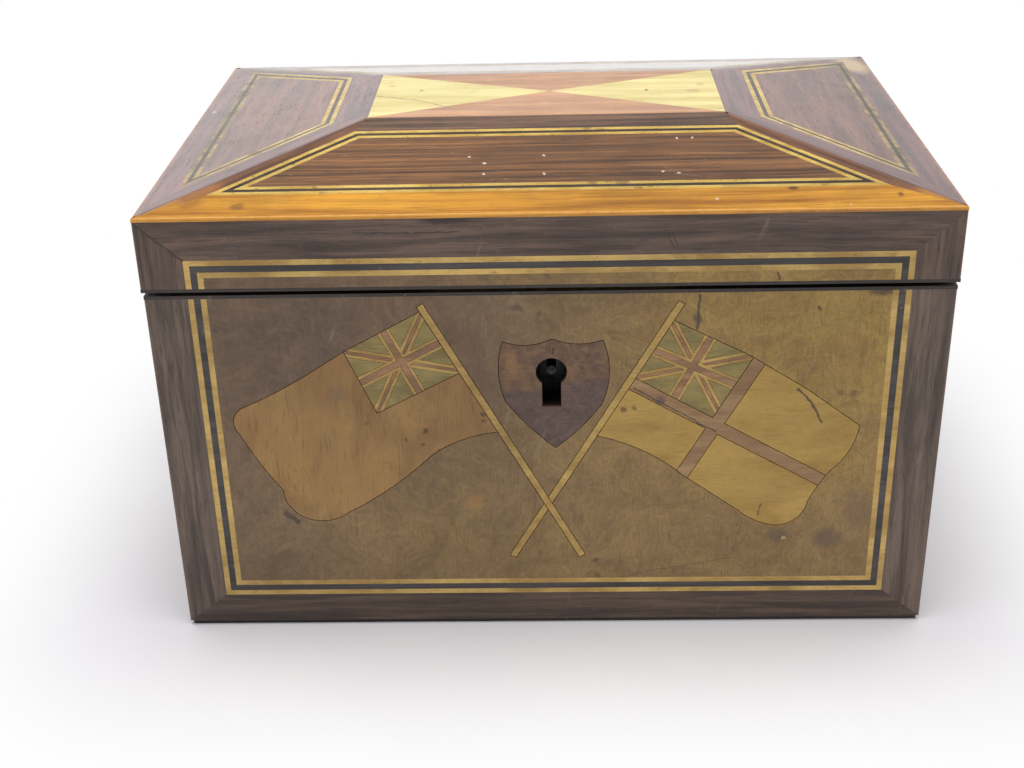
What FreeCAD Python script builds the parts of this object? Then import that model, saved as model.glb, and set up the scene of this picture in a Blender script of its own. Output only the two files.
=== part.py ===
import FreeCAD, Part
import math
import os
import types

import Sketcher

# An inlaid caddy box: a boarded case and a hinged, hipped lid, all faced with veneer.
# Millimetres, +Z up, front towards -Y, origin under the middle of the case.

SIZES = {
    # case and lid
    "case_width": 202.2,
    "case_depth": 138.2,
    "case_height": 100.1,
    "lid_overhang": 0.4,
    "lid_gap": 1.1,
    "lid_side": 19.7,
    "crown_rise": 9.85,
    "flat_length": 95.6,
    "flat_depth": 42.4,
    # timber
    "board": 10.0,
    "bottom_board": 8.0,
    "lid_rail": 10.0,
    "crown_edge": 2.6,
    "veneer": 1.0,
    "lipping": 0.9,
    "base_strip": 1.4,
    "base_inset": 0.8,
    "lid_lining": 0.8,
    "overrun": 1.5,
    # banding and stringing of the front
    "side_band": 11.1,
    "bottom_band": 8.7,
    "lid_burr": 2.95,
    "boxwood_line": 1.45,
    "ebony_line": 1.75,
    # banding and stringing of the lid slopes
    "eave_band": 10.3,
    "hip_band": 3.6,
    "flat_band": 7.2,
    "side_eave_band": 8.2,
    "side_front_hip_band": 7.4,
    "side_back_hip_band": 3.2,
    "side_flat_band": 9.6,
    "slope_boxwood_line": 1.25,
    "slope_ebony_line": 1.2,
    "bow_tie_x": 1.0,
    "bow_tie_y": 1.5,
    # marquetry
    "pole_width": 1.7,
    "flag_cross": 3.4,
    "canton_cross_red": 1.6,
    "canton_cross_edge": 0.8,
    "canton_saltire_red": 0.7,
    "canton_saltire_edge": 0.9,
    "inlay_gap": 0.2,
    "bar_gap": 0.08,
    # shield and keyhole
    "shield_width": 28.2,
    "shield_height": 31.2,
    "shield_rise": 9.3,
    "shield_offset": 0.6,
    "keyhole_offset": 0.7,
    "keyhole_below_rim": 22.5,
    "keyhole_slot": 4.9,
    "keyhole_cheek": 1.55,
    "keyhole_drop": 9.9,
    # hinges
    "hinge_length": 32.0,
    "hinge_spacing": 128.0,
    "hinge_inset": 2.6,
    "hinge_barrel": 3.8,
    "hinge_pin": 1.6,
    "leaf_thickness": 1.1,
    "hinge_leaf_margin": 0.6,
    "knuckle_gap": 0.3,
    "pin_clearance": 0.05,
    "barrel_clearance": 0.35,
    "bevel_drop": 3.1,
    # lock
    "lock_width": 50.0,
    "lock_height": 38.0,
    "lock_cover": 1.8,
    "lock_wall": 1.0,
    "key_chamber": 21.0,
    "lock_pin": 2.4,
    "lock_pin_end": 1.4,
    "selvedge_ear": 7.0,
    "plate": 1.5,
    "plate_gap": 0.4,
    "bolt_bar": 4.0,
    "bolt_clearance": 0.3,
    "bolt_post": 2.5,
    "bolt_throw": 5.0,
    "bolt_end_room": 3.45,
    "bar_clearance": 1.75,
    "prong_height": 2.4,
    "prong_clearance": 0.3,
    "prong_free": 0.5,
    "loop_thickness": 2.5,
    "loop_wall": 0.8,
    "loop_foot": 1.6,
    "loop_spacing": 20.0,
    "loop_clearance": 0.5,
    "loop_side_clearance": 0.7,
    "eye_drop": 5.15,
    # tea compartments
    "partition": 6.0,
    "partition_below_rim": 4.1,
    "tea_lining": 3.0,
    "tea_lining_below_rim": 12.1,
    "fit": 0.3,
    "tea_lid": 5.0,
    "tea_lid_margin": 0.5,
    "tea_lid_bevel": 1.6,
    "knob": 9.0,
    "knob_height": 11.0,
}

# A point marked VIA is the middle of an arc between the corners before and after it.
VIA = "via"

# Marquetry of the front panel.
# Across: share of the panel's half width from its middle. Up: share of the panel's height.
POLE_TOP_SHARE = 0.9692
POLE_FOOT_SHARE = 0.0870
LAYOUT_SHARES = {
    "left": {
        "pole_top_share": 0.3749,
        "pole_foot_share": 0.0984,
        "flag_reach_share": 0.9607,
        "flag_foot_share": 0.2279,
        "hoist_top_share": 0.9538,
        "hoist_foot_share": 0.5429,
        "canton_foot_share": 0.7513,
    },
    "right": {
        "pole_top_share": 0.3913,
        "pole_foot_share": 0.1207,
        "flag_reach_share": 0.9397,
        "flag_foot_share": 0.1948,
        "hoist_top_share": 0.9147,
        "hoist_foot_share": 0.5275,
        "canton_foot_share": 0.7205,
    },
}

# Flag outlines from the canton's outer corner round the fly to the lower hoist.
# Across: share of the flag's reach from the middle. Up: share from its foot to its hoist top.
FLAG_SHARES = {
    "left": (
        (0.634, 0.816),
        (0.768, 0.700),
        (0.870, 0.622, VIA),
        (0.970, 0.558),
        (1.000, 0.510, VIA),
        (0.990, 0.440),
        (0.933, 0.294, VIA),
        (0.866, 0.155),
        (0.841, 0.057, VIA),
        (0.787, 0.007),
        (0.732, 0.000, VIA),
        (0.659, 0.041),
        (0.527, 0.152, VIA),
        (0.378, 0.323),
        (0.281, 0.395, VIA),
    ),
    "right": (
        (0.636, 0.829),
        (0.823, 0.668),
        (0.998, 0.493),
        (0.977, 0.388, VIA),
        (0.916, 0.276),
        (0.885, 0.215, VIA),
        (0.848, 0.120),
        (0.818, 0.040, VIA),
        (0.754, 0.001),
        (0.690, 0.022, VIA),
        (0.623, 0.079),
        (0.436, 0.260),
        (0.312, 0.378, VIA),
    ),
}
CANTON_CORNER_SHARES = {"left": (0.543, 0.530), "right": (0.546, 0.567)}
# The right flag's cross: its upright starts at a share of the flag's first top edge.
UPRIGHT_HEAD_SHARE = 0.159
UPRIGHT_FOOT_SHARES = (0.425, 0.245)
CROSSING_SHARES = (0.536, 0.503)
LEVEL_END_SHARES = (0.905, 0.215)
LEVEL_HOIST_SHARE = 0.713

# Shield outline. Across: share of its width from its middle line. Up: share of its height below the top.
SHIELD_SHARES = (
    (-0.457, 0.020),
    (-0.235, 0.055, VIA),
    (-0.015, 0.000),
    (0.220, 0.048, VIA),
    (0.443, 0.015),
    (0.500, 0.300, VIA),
    (0.430, 0.600),
    (0.260, 0.790, VIA),
    (0.010, 1.000),
    (-0.250, 0.775, VIA),
    (-0.440, 0.560),
    (-0.497, 0.300, VIA),
)

# Turned knob profile. Out: share of the knob's diameter. Up: share of its height.
KNOB_SHARES = (
    (0.000, 0.000),
    (0.360, 0.000),
    (0.360, 0.090),
    (0.190, 0.210),
    (0.190, 0.380),
    (0.400, 0.470),
    (0.500, 0.600),
    (0.500, 0.740),
    (0.420, 0.880),
    (0.240, 0.970),
    (0.000, 1.000),
)

SIDES = {"left": -1, "right": 1}


class Size:
    """A length known both by its sheet expression and by its value in millimetres."""

    def __init__(self, text, value):
        self.text = text
        self.value = value

    def __add__(self, other):
        other = as_size(other)
        return Size(f"({self.text} + {other.text})", self.value + other.value)

    def __sub__(self, other):
        other = as_size(other)
        return Size(f"({self.text} - {other.text})", self.value - other.value)

    def __mul__(self, other):
        other = as_size(other)
        return Size(f"{self.text} * {other.text}", self.value * other.value)

    def __truediv__(self, other):
        other = as_size(other)
        return Size(f"{self.text} / ({other.text})", self.value / other.value)

    def __neg__(self):
        return Size(f"(-1 * {self.text})", -self.value)


def as_size(value):
    """Take a plain number (zero, a count or a share) as a size."""
    if isinstance(value, Size):
        return value
    return Size(f"({value})", float(value))


def root(value):
    return Size(f"sqrt({value.text})", math.sqrt(value.value))


document = FreeCAD.newDocument("InlaidBox")
sheet = document.addObject("Spreadsheet::Sheet", "Sizes")
for row, (alias, number) in enumerate(SIZES.items(), start=1):
    sheet.set(f"A{row}", alias)
    sheet.set(f"B{row}", str(number))
    sheet.setAlias(f"B{row}", alias)
document.recompute()
size = types.SimpleNamespace(**{alias: Size(f"Sizes.{alias}", value) for alias, value in SIZES.items()})
nothing = as_size(0)

subparts = []


# Ways of making a piece


def bind(feature, **values):
    for name, value in values.items():
        feature.setExpression(name, as_size(value).text)


def place(feature, base, axis=None, angle=None):
    """Set a feature's base point and, where it is turned, its axis and angle."""
    if axis is not None:
        feature.Placement = FreeCAD.Placement(FreeCAD.Vector(), FreeCAD.Rotation(axis, angle))
    for letter, value in zip("xyz", base):
        feature.setExpression(f"Placement.Base.{letter}", as_size(value).text)


def node(label, feature):
    """Name a finished sub-part."""
    feature.Label = label
    subparts.append(feature)
    return feature


def both(half):
    """The span from one side of the middle to the other."""
    return (-half, half)


def beside(sign, near, far):
    """A span on the left (-1) or on the right (1) of the middle."""
    return (near, far) if sign > 0 else (-far, -near)


def block(name, x, y, z):
    """A box between the (low, high) pairs of its three directions."""
    box = document.addObject("Part::Box", name)
    length, width, height = (as_size(high) - low for low, high in (x, y, z))
    bind(box, Length=length, Width=width, Height=height)
    place(box, (x[0], y[0], z[0]))
    return box


def rod(name, diameter, length, start, heading="up"):
    """A cylinder that runs up, right or to the front from its start."""
    turns = {
        "up": (None, None),
        "right": (FreeCAD.Vector(0, 1, 0), 90),
        "front": (FreeCAD.Vector(1, 0, 0), 90),
    }
    cylinder = document.addObject("Part::Cylinder", name)
    bind(cylinder, Radius=diameter / 2, Height=length)
    place(cylinder, start, *turns[heading])
    return cylinder


def hipped(name, base, top, rise, x, level):
    """A block that slopes in from one rectangle to a smaller one; each is (half width, half depth)."""
    wedge = document.addObject("Part::Wedge", name)
    bind(wedge, Xmin=-base[0], Xmax=base[0], Zmin=-base[1], Zmax=base[1])
    bind(wedge, X2min=-top[0], X2max=top[0], Z2min=-top[1], Z2max=top[1])
    bind(wedge, Ymin=0, Ymax=rise)
    place(wedge, (x, 0, level), FreeCAD.Vector(1, 0, 0), 90)
    return wedge


def fuse(name, *shapes):
    union = document.addObject("Part::MultiFuse", name)
    union.Shapes = list(shapes)
    return union


def group(name, *shapes):
    compound = document.addObject("Part::Compound", name)
    compound.Links = list(shapes)
    return compound


def cut(name, base, *tools):
    result = document.addObject("Part::Cut", name)
    result.Base = base
    result.Tool = tools[0] if len(tools) == 1 else fuse(name + "_tools", *tools)
    return result


def common(name, base, tool):
    result = document.addObject("Part::Common", name)
    result.Base = base
    result.Tool = tool
    return result


def point(corner):
    return FreeCAD.Vector(as_size(corner[0]).value, as_size(corner[1]).value, 0)


def pin_down(sketch, geometry, vertex, corner):
    """Tie one sketch point to its two sizes."""
    for direction, value in zip(("DistanceX", "DistanceY"), corner):
        value = as_size(value)
        constraint = Sketcher.Constraint(direction, -1, 1, geometry, vertex, value.value)
        index = sketch.addConstraint(constraint)
        sketch.setExpression(f"Constraints[{index}]", value.text)


def draw(sketch, corners):
    """Draw one closed outline of straight runs and three-point arcs."""
    edges = []
    for position, corner in enumerate(corners):
        if VIA in corner:
            continue
        follower = corners[(position + 1) % len(corners)]
        bend = follower if VIA in follower else None
        end = corners[(position + 2) % len(corners)] if bend else follower
        forward = True
        if bend is None:
            curve = Part.LineSegment(point(corner), point(end))
        else:
            forward = (point(bend) - point(corner)).cross(point(end) - point(corner)).z > 0
            first, last = (corner, end) if forward else (end, corner)
            curve = Part.Arc(point(first), point(bend), point(last))
        edge = sketch.addGeometry(curve, False)
        edges.append((edge, 1 if forward else 2, 2 if forward else 1))
        pin_down(sketch, edge, edges[-1][1], corner)
        if bend:
            middle = sketch.addGeometry(Part.Point(point(bend)), True)
            sketch.addConstraint(Sketcher.Constraint("PointOnObject", middle, 1, edge))
            pin_down(sketch, middle, 1, bend)
    for (edge, _, last), (following, first, _) in zip(edges, edges[1:] + edges[:1]):
        sketch.addConstraint(Sketcher.Constraint("Coincident", edge, last, following, first))


def sketch_in(body, name, role, outlines):
    sketch = body.newObject("Sketcher::SketchObject", name)
    plane = next(part for part in body.Origin.OriginFeatures if part.Role == role)
    sketch.AttachmentSupport = [(plane, "")]
    sketch.MapMode = "FlatFace"
    for corners in outlines:
        draw(sketch, corners)
    return sketch


def prism(name, role, outlines, depth, offset):
    """Pad outlines of one origin plane; the offset moves the body square to that plane."""
    body = document.addObject("PartDesign::Body", name)
    sketch = sketch_in(body, name + "_outline", role, outlines)
    pad = body.newObject("PartDesign::Pad", name + "_pad")
    pad.Profile = sketch
    bind(pad, Length=depth)
    bases = {"XY_Plane": (0, 0, offset), "XZ_Plane": (0, offset, 0), "YZ_Plane": (offset, 0, 0)}
    place(body, bases[role])
    return body


def facing(name, corners, face):
    """A piece of veneer on a front face."""
    return prism(name, "XZ_Plane", [corners], size.veneer, face + size.veneer)


def mitred_frame(name, outer, inner, low, high):
    """Four strips with mitred corners between two rectangles and two levels."""
    turns = [(-1, -1), (1, -1), (1, 1), (-1, 1)]
    strips = []
    for index, turn in enumerate(turns):
        following = turns[(index + 1) % len(turns)]
        corners = [
            (outer[0] * turn[0], outer[1] * turn[1]),
            (outer[0] * following[0], outer[1] * following[1]),
            (inner[0] * following[0], inner[1] * following[1]),
            (inner[0] * turn[0], inner[1] * turn[1]),
        ]
        strips.append(prism(f"{name}_{index}", "XY_Plane", [corners], high - low, low))
    return group(name, *strips)


def turned(name, profile):
    """Revolve a half profile about the upright axis."""
    body = document.addObject("PartDesign::Body", name)
    sketch = sketch_in(body, name + "_profile", "XZ_Plane", [profile])
    turning = body.newObject("PartDesign::Revolution", name + "_turning")
    turning.Profile = sketch
    turning.ReferenceAxis = (sketch, ["V_Axis"])
    turning.Angle = 360
    return body


def grown(name, body):
    """A cutter that follows a front inlay's outline with the inlay gap all round."""
    outline = document.addObject("Part::Offset2D", name + "_edge")
    outline.Source = body.Group[0]
    bind(outline, Value=size.inlay_gap)
    cutter = document.addObject("Part::Extrusion", name)
    cutter.Base = outline
    cutter.DirMode = "Custom"
    cutter.Dir = FreeCAD.Vector(0, -1, 0)
    cutter.Solid = True
    bind(cutter, LengthFwd=size.case_depth)
    return cutter


def strip(name, ends, width, depth, run_on):
    """A straight bar of the front plane between two points, run on past both."""
    start, end = ends
    across = end[0] - start[0]
    rise = end[1] - start[1]
    span = root(across * across + rise * rise)
    length = span + run_on * 2
    bar = document.addObject("Part::Box", name)
    bind(bar, Length=length, Width=depth[1] - depth[0], Height=width)
    x = (start[0] + end[0]) / 2 - length * across / (span * 2) + width * rise / (span * 2)
    z = (start[1] + end[1]) / 2 - length * rise / (span * 2) - width * across / (span * 2)
    slope = -math.degrees(math.atan2(rise.value, across.value))
    place(bar, (x, depth[0], z), FreeCAD.Vector(0, 1, 0), slope)
    bar.setExpression("Placement.Rotation.Angle", f"-atan2({rise.text}; {across.text})")
    return bar


# Levels and faces that many pieces share

half_width = size.case_width / 2
half_depth = size.case_depth / 2
skin_x = half_width - size.veneer
skin_y = half_depth - size.veneer
inner_x = skin_x - size.board
inner_y = skin_y - size.board
rim = size.case_height
wall_top = rim - size.lipping
wall_z = (size.base_strip, wall_top)
front = -half_depth

lid_half_width = half_width + size.lid_overhang
lid_half_depth = half_depth + size.lid_overhang
lid_skin_x = lid_half_width - size.veneer
lid_skin_y = lid_half_depth - size.veneer
lid_inner_x = lid_skin_x - size.lid_rail
lid_inner_y = lid_skin_y - size.lid_rail
lid_bottom = rim + size.lid_gap
lid_wall_bottom = lid_bottom + size.lipping
eave = lid_bottom + size.lid_side
crown_base = eave - size.veneer
crown_bottom = crown_base - size.crown_edge
rail_z = (lid_wall_bottom, crown_bottom)
lid_face_z = (lid_wall_bottom, crown_base)
lid_front = -lid_half_depth


# Hinges and the room that they take

hinge_y = half_depth - size.hinge_inset
hinge_z = rim + size.lid_gap / 2
hinge_places = {side: size.hinge_spacing / 2 * sign for side, sign in SIDES.items()}
barrel_room = size.hinge_barrel + size.barrel_clearance * 2
leaf_inner_y = inner_y + size.hinge_leaf_margin
leaf_outer_y = hinge_y - barrel_room / 2
leaf_levels = {"case": rim - size.leaf_thickness, "lid": lid_bottom}
leaf_knuckles = {"case": (0, 2, 4), "lid": (1, 3)}
knuckle_pitch = size.hinge_length / 5
knuckle = knuckle_pitch - size.knuckle_gap


def hinge_rod(name, diameter, length, start):
    """A rod on the hinge line."""
    return rod(name, diameter, length, (start, hinge_y, hinge_z), "right")


def hinge_span(side):
    left = hinge_places[side] - size.hinge_length / 2
    return (left, left + size.hinge_length)


def leaf_z(owner):
    return (leaf_levels[owner], leaf_levels[owner] + size.leaf_thickness)


def hinge_leaf(side, owner):
    """One leaf with its own knuckles, bored for the pin."""
    name = f"{side}_{owner}_leaf"
    left = hinge_span(side)[0]
    z = leaf_z(owner)
    pieces = [block(name + "_plate", hinge_span(side), (leaf_inner_y, leaf_outer_y), z)]
    for number in leaf_knuckles[owner]:
        start = left + knuckle_pitch * number + size.knuckle_gap / 2
        pieces.append(block(f"{name}_tab_{number}", (start, start + knuckle), (leaf_inner_y, hinge_y), z))
        pieces.append(hinge_rod(f"{name}_knuckle_{number}", size.hinge_barrel, knuckle, start))
    bore_diameter = size.hinge_pin + size.pin_clearance * 2
    bore = hinge_rod(name + "_bore", bore_diameter, size.hinge_length, left)
    return cut(name + "_bored", fuse(name + "_solid", *pieces), bore)


def hinge_room(owner):
    """Mortises for the leaves and a groove round each barrel."""
    tools = []
    for side in SIDES:
        name = f"{owner}_{side}_hinge"
        span = hinge_span(side)
        tools.append(block(name + "_mortise", span, (leaf_inner_y, hinge_y), leaf_z(owner)))
        groove = size.hinge_length + size.barrel_clearance * 2
        tools.append(hinge_rod(name + "_groove", barrel_room, groove, span[0] - size.barrel_clearance))
    return tools


def bevel(name, edge_z, turn):
    """The back edge's stop bevel from the hinge line outward; turn is -1 on the case, 1 on the lid."""
    reach = size.hinge_inset + size.lid_overhang + size.overrun
    drop = size.bevel_drop * reach / size.hinge_inset
    corners = [
        (hinge_y, edge_z),
        (hinge_y + reach, edge_z + drop * turn),
        (hinge_y + reach, edge_z - size.overrun * turn),
        (hinge_y, edge_z - size.overrun * turn),
    ]
    half_length = lid_half_width + size.overrun
    return prism(name, "YZ_Plane", [corners], half_length * 2, -half_length)


leaves = {owner: [hinge_leaf(side, owner) for side in SIDES] for owner in leaf_levels}
case_bevel = bevel("case_bevel", rim, -1)
lid_bevel = bevel("lid_bevel", lid_bottom, 1)
case_back_room = [case_bevel] + hinge_room("case")
lid_back_room = [lid_bevel] + hinge_room("lid")
pins = [
    hinge_rod(side + "_pin", size.hinge_pin, size.hinge_length, hinge_span(side)[0]) for side in SIDES
]
node("hinge_pins", group("hinge_pin_pair", *pins))


# Lock, its bolt and its link plate

lock_back = -inner_y
lock_front = front + size.veneer + size.lock_cover
lock_y = (lock_front, lock_back)
lock_middle = (lock_front + lock_back) / 2
cavity_front = lock_front + size.lock_wall
cavity_back = lock_back - size.lock_wall
cavity_y = (cavity_front, cavity_back)
half_lock = size.lock_width / 2
half_selvedge = half_lock + size.selvedge_ear
plate_proud = (size.lid_gap - size.plate_gap) / 2
selvedge_top = rim + plate_proud
selvedge_bottom = selvedge_top - size.plate
link_bottom = lid_bottom - plate_proud
link_top = link_bottom + size.plate
lock_z = (selvedge_bottom - size.lock_height, selvedge_bottom)

half_prong = size.prong_height / 2
eye_level = selvedge_bottom - size.eye_drop
eye_z = (eye_level - half_prong - size.loop_clearance, eye_level + half_prong + size.loop_clearance)
prong_z = (eye_level - half_prong, eye_level + half_prong)
loop_bottom = eye_z[0] - size.loop_foot
bar_top = loop_bottom - size.bar_clearance
bar_bottom = bar_top - size.bolt_bar
race_floor = bar_bottom - size.bolt_clearance
loop_y = (cavity_front + size.loop_side_clearance, cavity_back - size.loop_side_clearance)
eye_y = (loop_y[0] + size.loop_wall, loop_y[1] - size.loop_wall)
prong_y = (eye_y[0] + size.prong_clearance, eye_y[1] - size.prong_clearance)
prong_reach = size.bolt_throw + size.prong_free
race_x = both(half_lock - size.lock_wall)

key_z = rim - size.keyhole_below_rim
slot_half = size.keyhole_slot / 2
head_radius = slot_half + size.keyhole_cheek
neck = root(head_radius * head_radius - slot_half * slot_half)
keyhole_corners = [
    (size.keyhole_offset - slot_half, key_z - size.keyhole_drop),
    (size.keyhole_offset + slot_half, key_z - size.keyhole_drop),
    (size.keyhole_offset + slot_half, key_z - neck),
    (size.keyhole_offset, key_z + head_radius, VIA),
    (size.keyhole_offset - slot_half, key_z - neck),
]
keyhole_depth = cavity_front - front + size.overrun
keyhole = prism("keyhole", "XZ_Plane", [keyhole_corners], keyhole_depth, cavity_front)

lock_body = block("lock_body", both(half_lock), lock_y, lock_z)
lock_mortise = block("lock_mortise", both(half_lock), lock_y, lock_z)
race = block("bolt_race", race_x, cavity_y, (race_floor, selvedge_bottom + size.overrun))
key_centre = (size.keyhole_offset, cavity_back, key_z)
chamber = rod("key_chamber", size.key_chamber, cavity_back - cavity_front, key_centre, "front")
node("lock_case", cut("lock_case_hollow", lock_body, race, chamber, keyhole))
pin_length = cavity_back - lock_front + size.lock_pin_end
node("lock_pin", rod("drill_pin", size.lock_pin, pin_length, key_centre, "front"))

bolt_start = race_x[0] + size.bolt_end_room
first_loop = bolt_start + size.bolt_post + prong_reach + size.prong_free
slots = []
loops = []
bolt_pieces = []
for index in range(2):
    loop_left = first_loop + size.loop_spacing * index
    loop_x = (loop_left, loop_left + size.loop_thickness)
    slot_x = (loop_x[0] - size.loop_clearance, loop_x[1] + size.loop_clearance)
    slot_z = (selvedge_bottom - size.overrun, selvedge_top + size.overrun)
    slots.append(block(f"loop_slot_{index}", slot_x, cavity_y, slot_z))
    loop = block(f"link_loop_{index}", loop_x, loop_y, (loop_bottom, link_bottom))
    eye_x = (loop_x[0] - size.overrun, loop_x[1] + size.overrun)
    eye = block(f"link_eye_{index}", eye_x, eye_y, eye_z)
    loops.append(cut(f"link_loop_{index}_pierced", loop, eye))
    tip = loop_x[0] - size.prong_free
    post_right = tip - prong_reach
    post_x = (post_right - size.bolt_post, post_right)
    bolt_pieces.append(block(f"bolt_prong_{index}", (post_right, tip), prong_y, prong_z))
    bolt_pieces.append(block(f"bolt_post_{index}", post_x, loop_y, (bar_bottom, prong_z[1])))
bolt_pieces.append(block("bolt_bar", (bolt_start, post_right), loop_y, (bar_bottom, bar_top)))
node("lock_bolt", fuse("lock_bolt_solid", *bolt_pieces))


# Brass plates and hinge leaves

selvedge = block("selvedge", both(half_selvedge), lock_y, (selvedge_bottom, selvedge_top))
node("lock_selvedge", cut("selvedge_slotted", selvedge, *slots))
link = block("link", both(half_selvedge), (lock_front, -lid_inner_y), (link_bottom, link_top))
node("link_plate", link)
node("link_loops", group("link_loop_pair", *loops))
for owner, pair in leaves.items():
    node(f"hinge_{owner}_leaves", group(f"{owner}_leaf_pair", *pair))


# Case boards, lipping, base strip and plain veneers

front_board = block("front_board", both(skin_x), (-skin_y, -inner_y), wall_z)
node("case_front_board", cut("front_board_cut", front_board, lock_mortise, selvedge, keyhole))
back_board = block("back_board", both(skin_x), (inner_y, skin_y), wall_z)
node("case_back_board", cut("back_board_cut", back_board, *case_back_room))
for side, sign in SIDES.items():
    node(f"case_{side}_board", block(f"{side}_board", beside(sign, inner_x, skin_x), both(inner_y), wall_z))
node("case_bottom_board", block("floor_board", both(inner_x), both(inner_y), (0, size.bottom_board)))

case_outside = (half_width, half_depth)
case_inside = (inner_x, inner_y)
base_outside = (half_width - size.base_inset, half_depth - size.base_inset)
node("base_strip", mitred_frame("base_frame", base_outside, case_inside, nothing, size.base_strip))
case_lipping = mitred_frame("case_lipping", case_outside, case_inside, wall_top, rim)
node("case_rim_lipping", cut("case_lipping_cut", case_lipping, selvedge, *case_back_room))

case_sheets = []
for side, sign in SIDES.items():
    side_sheet = block(f"case_{side}_sheet", beside(sign, skin_x, half_width), both(skin_y), wall_z)
    case_sheets.append(cut(f"case_{side}_sheet_cut", side_sheet, case_bevel))
node("case_side_veneers", group("case_sheet_pair", *case_sheets))
back_sheet = block("case_back_sheet", both(half_width), (skin_y, half_depth), wall_z)
node("case_back_veneer", cut("case_back_sheet_cut", back_sheet, *case_back_room))


# Banding and stringing of the case front and the lid front

string_x = half_width - size.side_band
line_steps = [
    nothing,
    size.boxwood_line,
    size.boxwood_line + size.ebony_line,
    size.boxwood_line * 2 + size.ebony_line,
]
string_bottom = size.base_strip + size.bottom_band
string_top = lid_wall_bottom + size.lid_burr + line_steps[-1]
panel_x = string_x - line_steps[-1]
panel_bottom = string_bottom + line_steps[-1]
panel_height = wall_top - panel_bottom


def horseshoe(name, step, base_level, turn, end_level, face):
    """One stringing line on three sides; turn is 1 where it opens upward and -1 downward."""
    outer_x = string_x - line_steps[step]
    outer_z = base_level + line_steps[step] * turn
    line_x = string_x - line_steps[step + 1]
    line_z = base_level + line_steps[step + 1] * turn
    corners = [
        (-outer_x, end_level),
        (-outer_x, outer_z),
        (outer_x, outer_z),
        (outer_x, end_level),
        (line_x, end_level),
        (line_x, line_z),
        (-line_x, line_z),
        (-line_x, end_level),
    ]
    return facing(name, corners, face)


def banding(name, outer_x, outer_z, line_z, end_level, face):
    """Three mitred bands between the stringing and the edges of a front."""
    left_outer = [(-outer_x, end_level), (-outer_x, outer_z)]
    left_line = [(-string_x, line_z), (-string_x, end_level)]
    right_outer = [(outer_x, end_level), (outer_x, outer_z)]
    right_line = [(string_x, line_z), (string_x, end_level)]
    across = [(-outer_x, outer_z), (outer_x, outer_z), (string_x, line_z), (-string_x, line_z)]
    bands = [
        facing(name + "_left", left_outer + left_line, face),
        facing(name + "_right", right_outer + right_line, face),
        facing(name + "_across", across, face),
    ]
    return group(name, *bands)


front_lines = [
    horseshoe(f"front_line_{step}", step, string_bottom, 1, wall_top, front) for step in range(3)
]
node("front_boxwood_stringing", group("front_boxwood_pair", front_lines[0], front_lines[2]))
node("front_ebony_stringing", front_lines[1])
front_bands = banding("front_bands", half_width, size.base_strip, string_bottom, wall_top, front)
node("front_crossbanding", front_bands)

lid_lines = [
    horseshoe(f"lid_line_{step}", step, string_top, -1, lid_wall_bottom, lid_front) for step in range(3)
]
node("lid_front_boxwood_stringing", group("lid_boxwood_pair", lid_lines[0], lid_lines[2]))
node("lid_front_ebony_stringing", lid_lines[1])
lid_bands = banding("lid_bands", lid_half_width, crown_base, string_top, lid_wall_bottom, lid_front)
node("lid_front_crossbanding", lid_bands)
burr_z = (lid_wall_bottom, lid_wall_bottom + size.lid_burr)
node("lid_front_burr_strip", block("lid_burr_strip", both(panel_x), (lid_front, -lid_skin_y), burr_z))


# Marquetry: the shield lies over the poles, the poles over the flags, the flags in the panel

front_back = front + size.veneer
face_depth = (front, front_back)
cut_depth = (front - size.overrun, front_back + size.overrun)

shield_x = size.keyhole_offset + size.shield_offset
shield_top = key_z + size.shield_rise
shield_corners = [
    (shield_x + size.shield_width * shares[0], shield_top - size.shield_height * shares[1]) + shares[2:]
    for shares in SHIELD_SHARES
]
shield = facing("shield", shield_corners, front)
shield_room = grown("shield_room", shield)
node("shield_escutcheon", cut("shield_bored", shield, keyhole))


def panel_point(side, across, up):
    return (panel_x * (across * SIDES[side]), panel_bottom + panel_height * up)


def pole_point(side, up):
    """A place on a pole's middle line at a share of the panel's height."""
    layout = LAYOUT_SHARES[side]
    rise = (up - POLE_FOOT_SHARE) / (POLE_TOP_SHARE - POLE_FOOT_SHARE)
    across = (layout["pole_top_share"] + layout["pole_foot_share"]) * rise - layout["pole_foot_share"]
    return panel_point(side, across, up)


def hoist_point(side, name):
    return pole_point(side, LAYOUT_SHARES[side][name + "_share"])


def flag_point(side, shares):
    """A place in a flag's own shares."""
    layout = LAYOUT_SHARES[side]
    up = layout["flag_foot_share"] + (layout["hoist_top_share"] - layout["flag_foot_share"]) * shares[1]
    return panel_point(side, layout["flag_reach_share"] * shares[0], up) + tuple(shares[2:])


def poles(name, extra, depth):
    """Bars along both flag poles."""
    bars = {}
    for side in SIDES:
        ends = (pole_point(side, POLE_TOP_SHARE), pole_point(side, POLE_FOOT_SHARE))
        bars[side] = strip(f"{side}_{name}", ends, size.pole_width + extra * 2, depth, extra)
    return bars


pole_bars = poles("pole", nothing, face_depth)
pole_room = poles("pole_room", size.inlay_gap, cut_depth)
left_pole = cut("left_pole_parted", pole_bars["left"], shield_room)
right_pole = cut("right_pole_parted", pole_bars["right"], pole_room["left"], shield_room)
node("flag_poles", group("pole_set", left_pole, right_pole))
pole_cutter = fuse("pole_cutter", pole_room["left"], pole_room["right"])
over_flags = [pole_cutter, shield_room]

flags = {}
flag_room = {}
for side in SIDES:
    fly = [flag_point(side, shares) for shares in FLAG_SHARES[side]]
    corners = [hoist_point(side, "hoist_top")] + fly + [hoist_point(side, "hoist_foot")]
    flags[side] = facing(f"{side}_flag", corners, front)
    flag_room[side] = grown(f"{side}_flag_room", flags[side])

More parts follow.
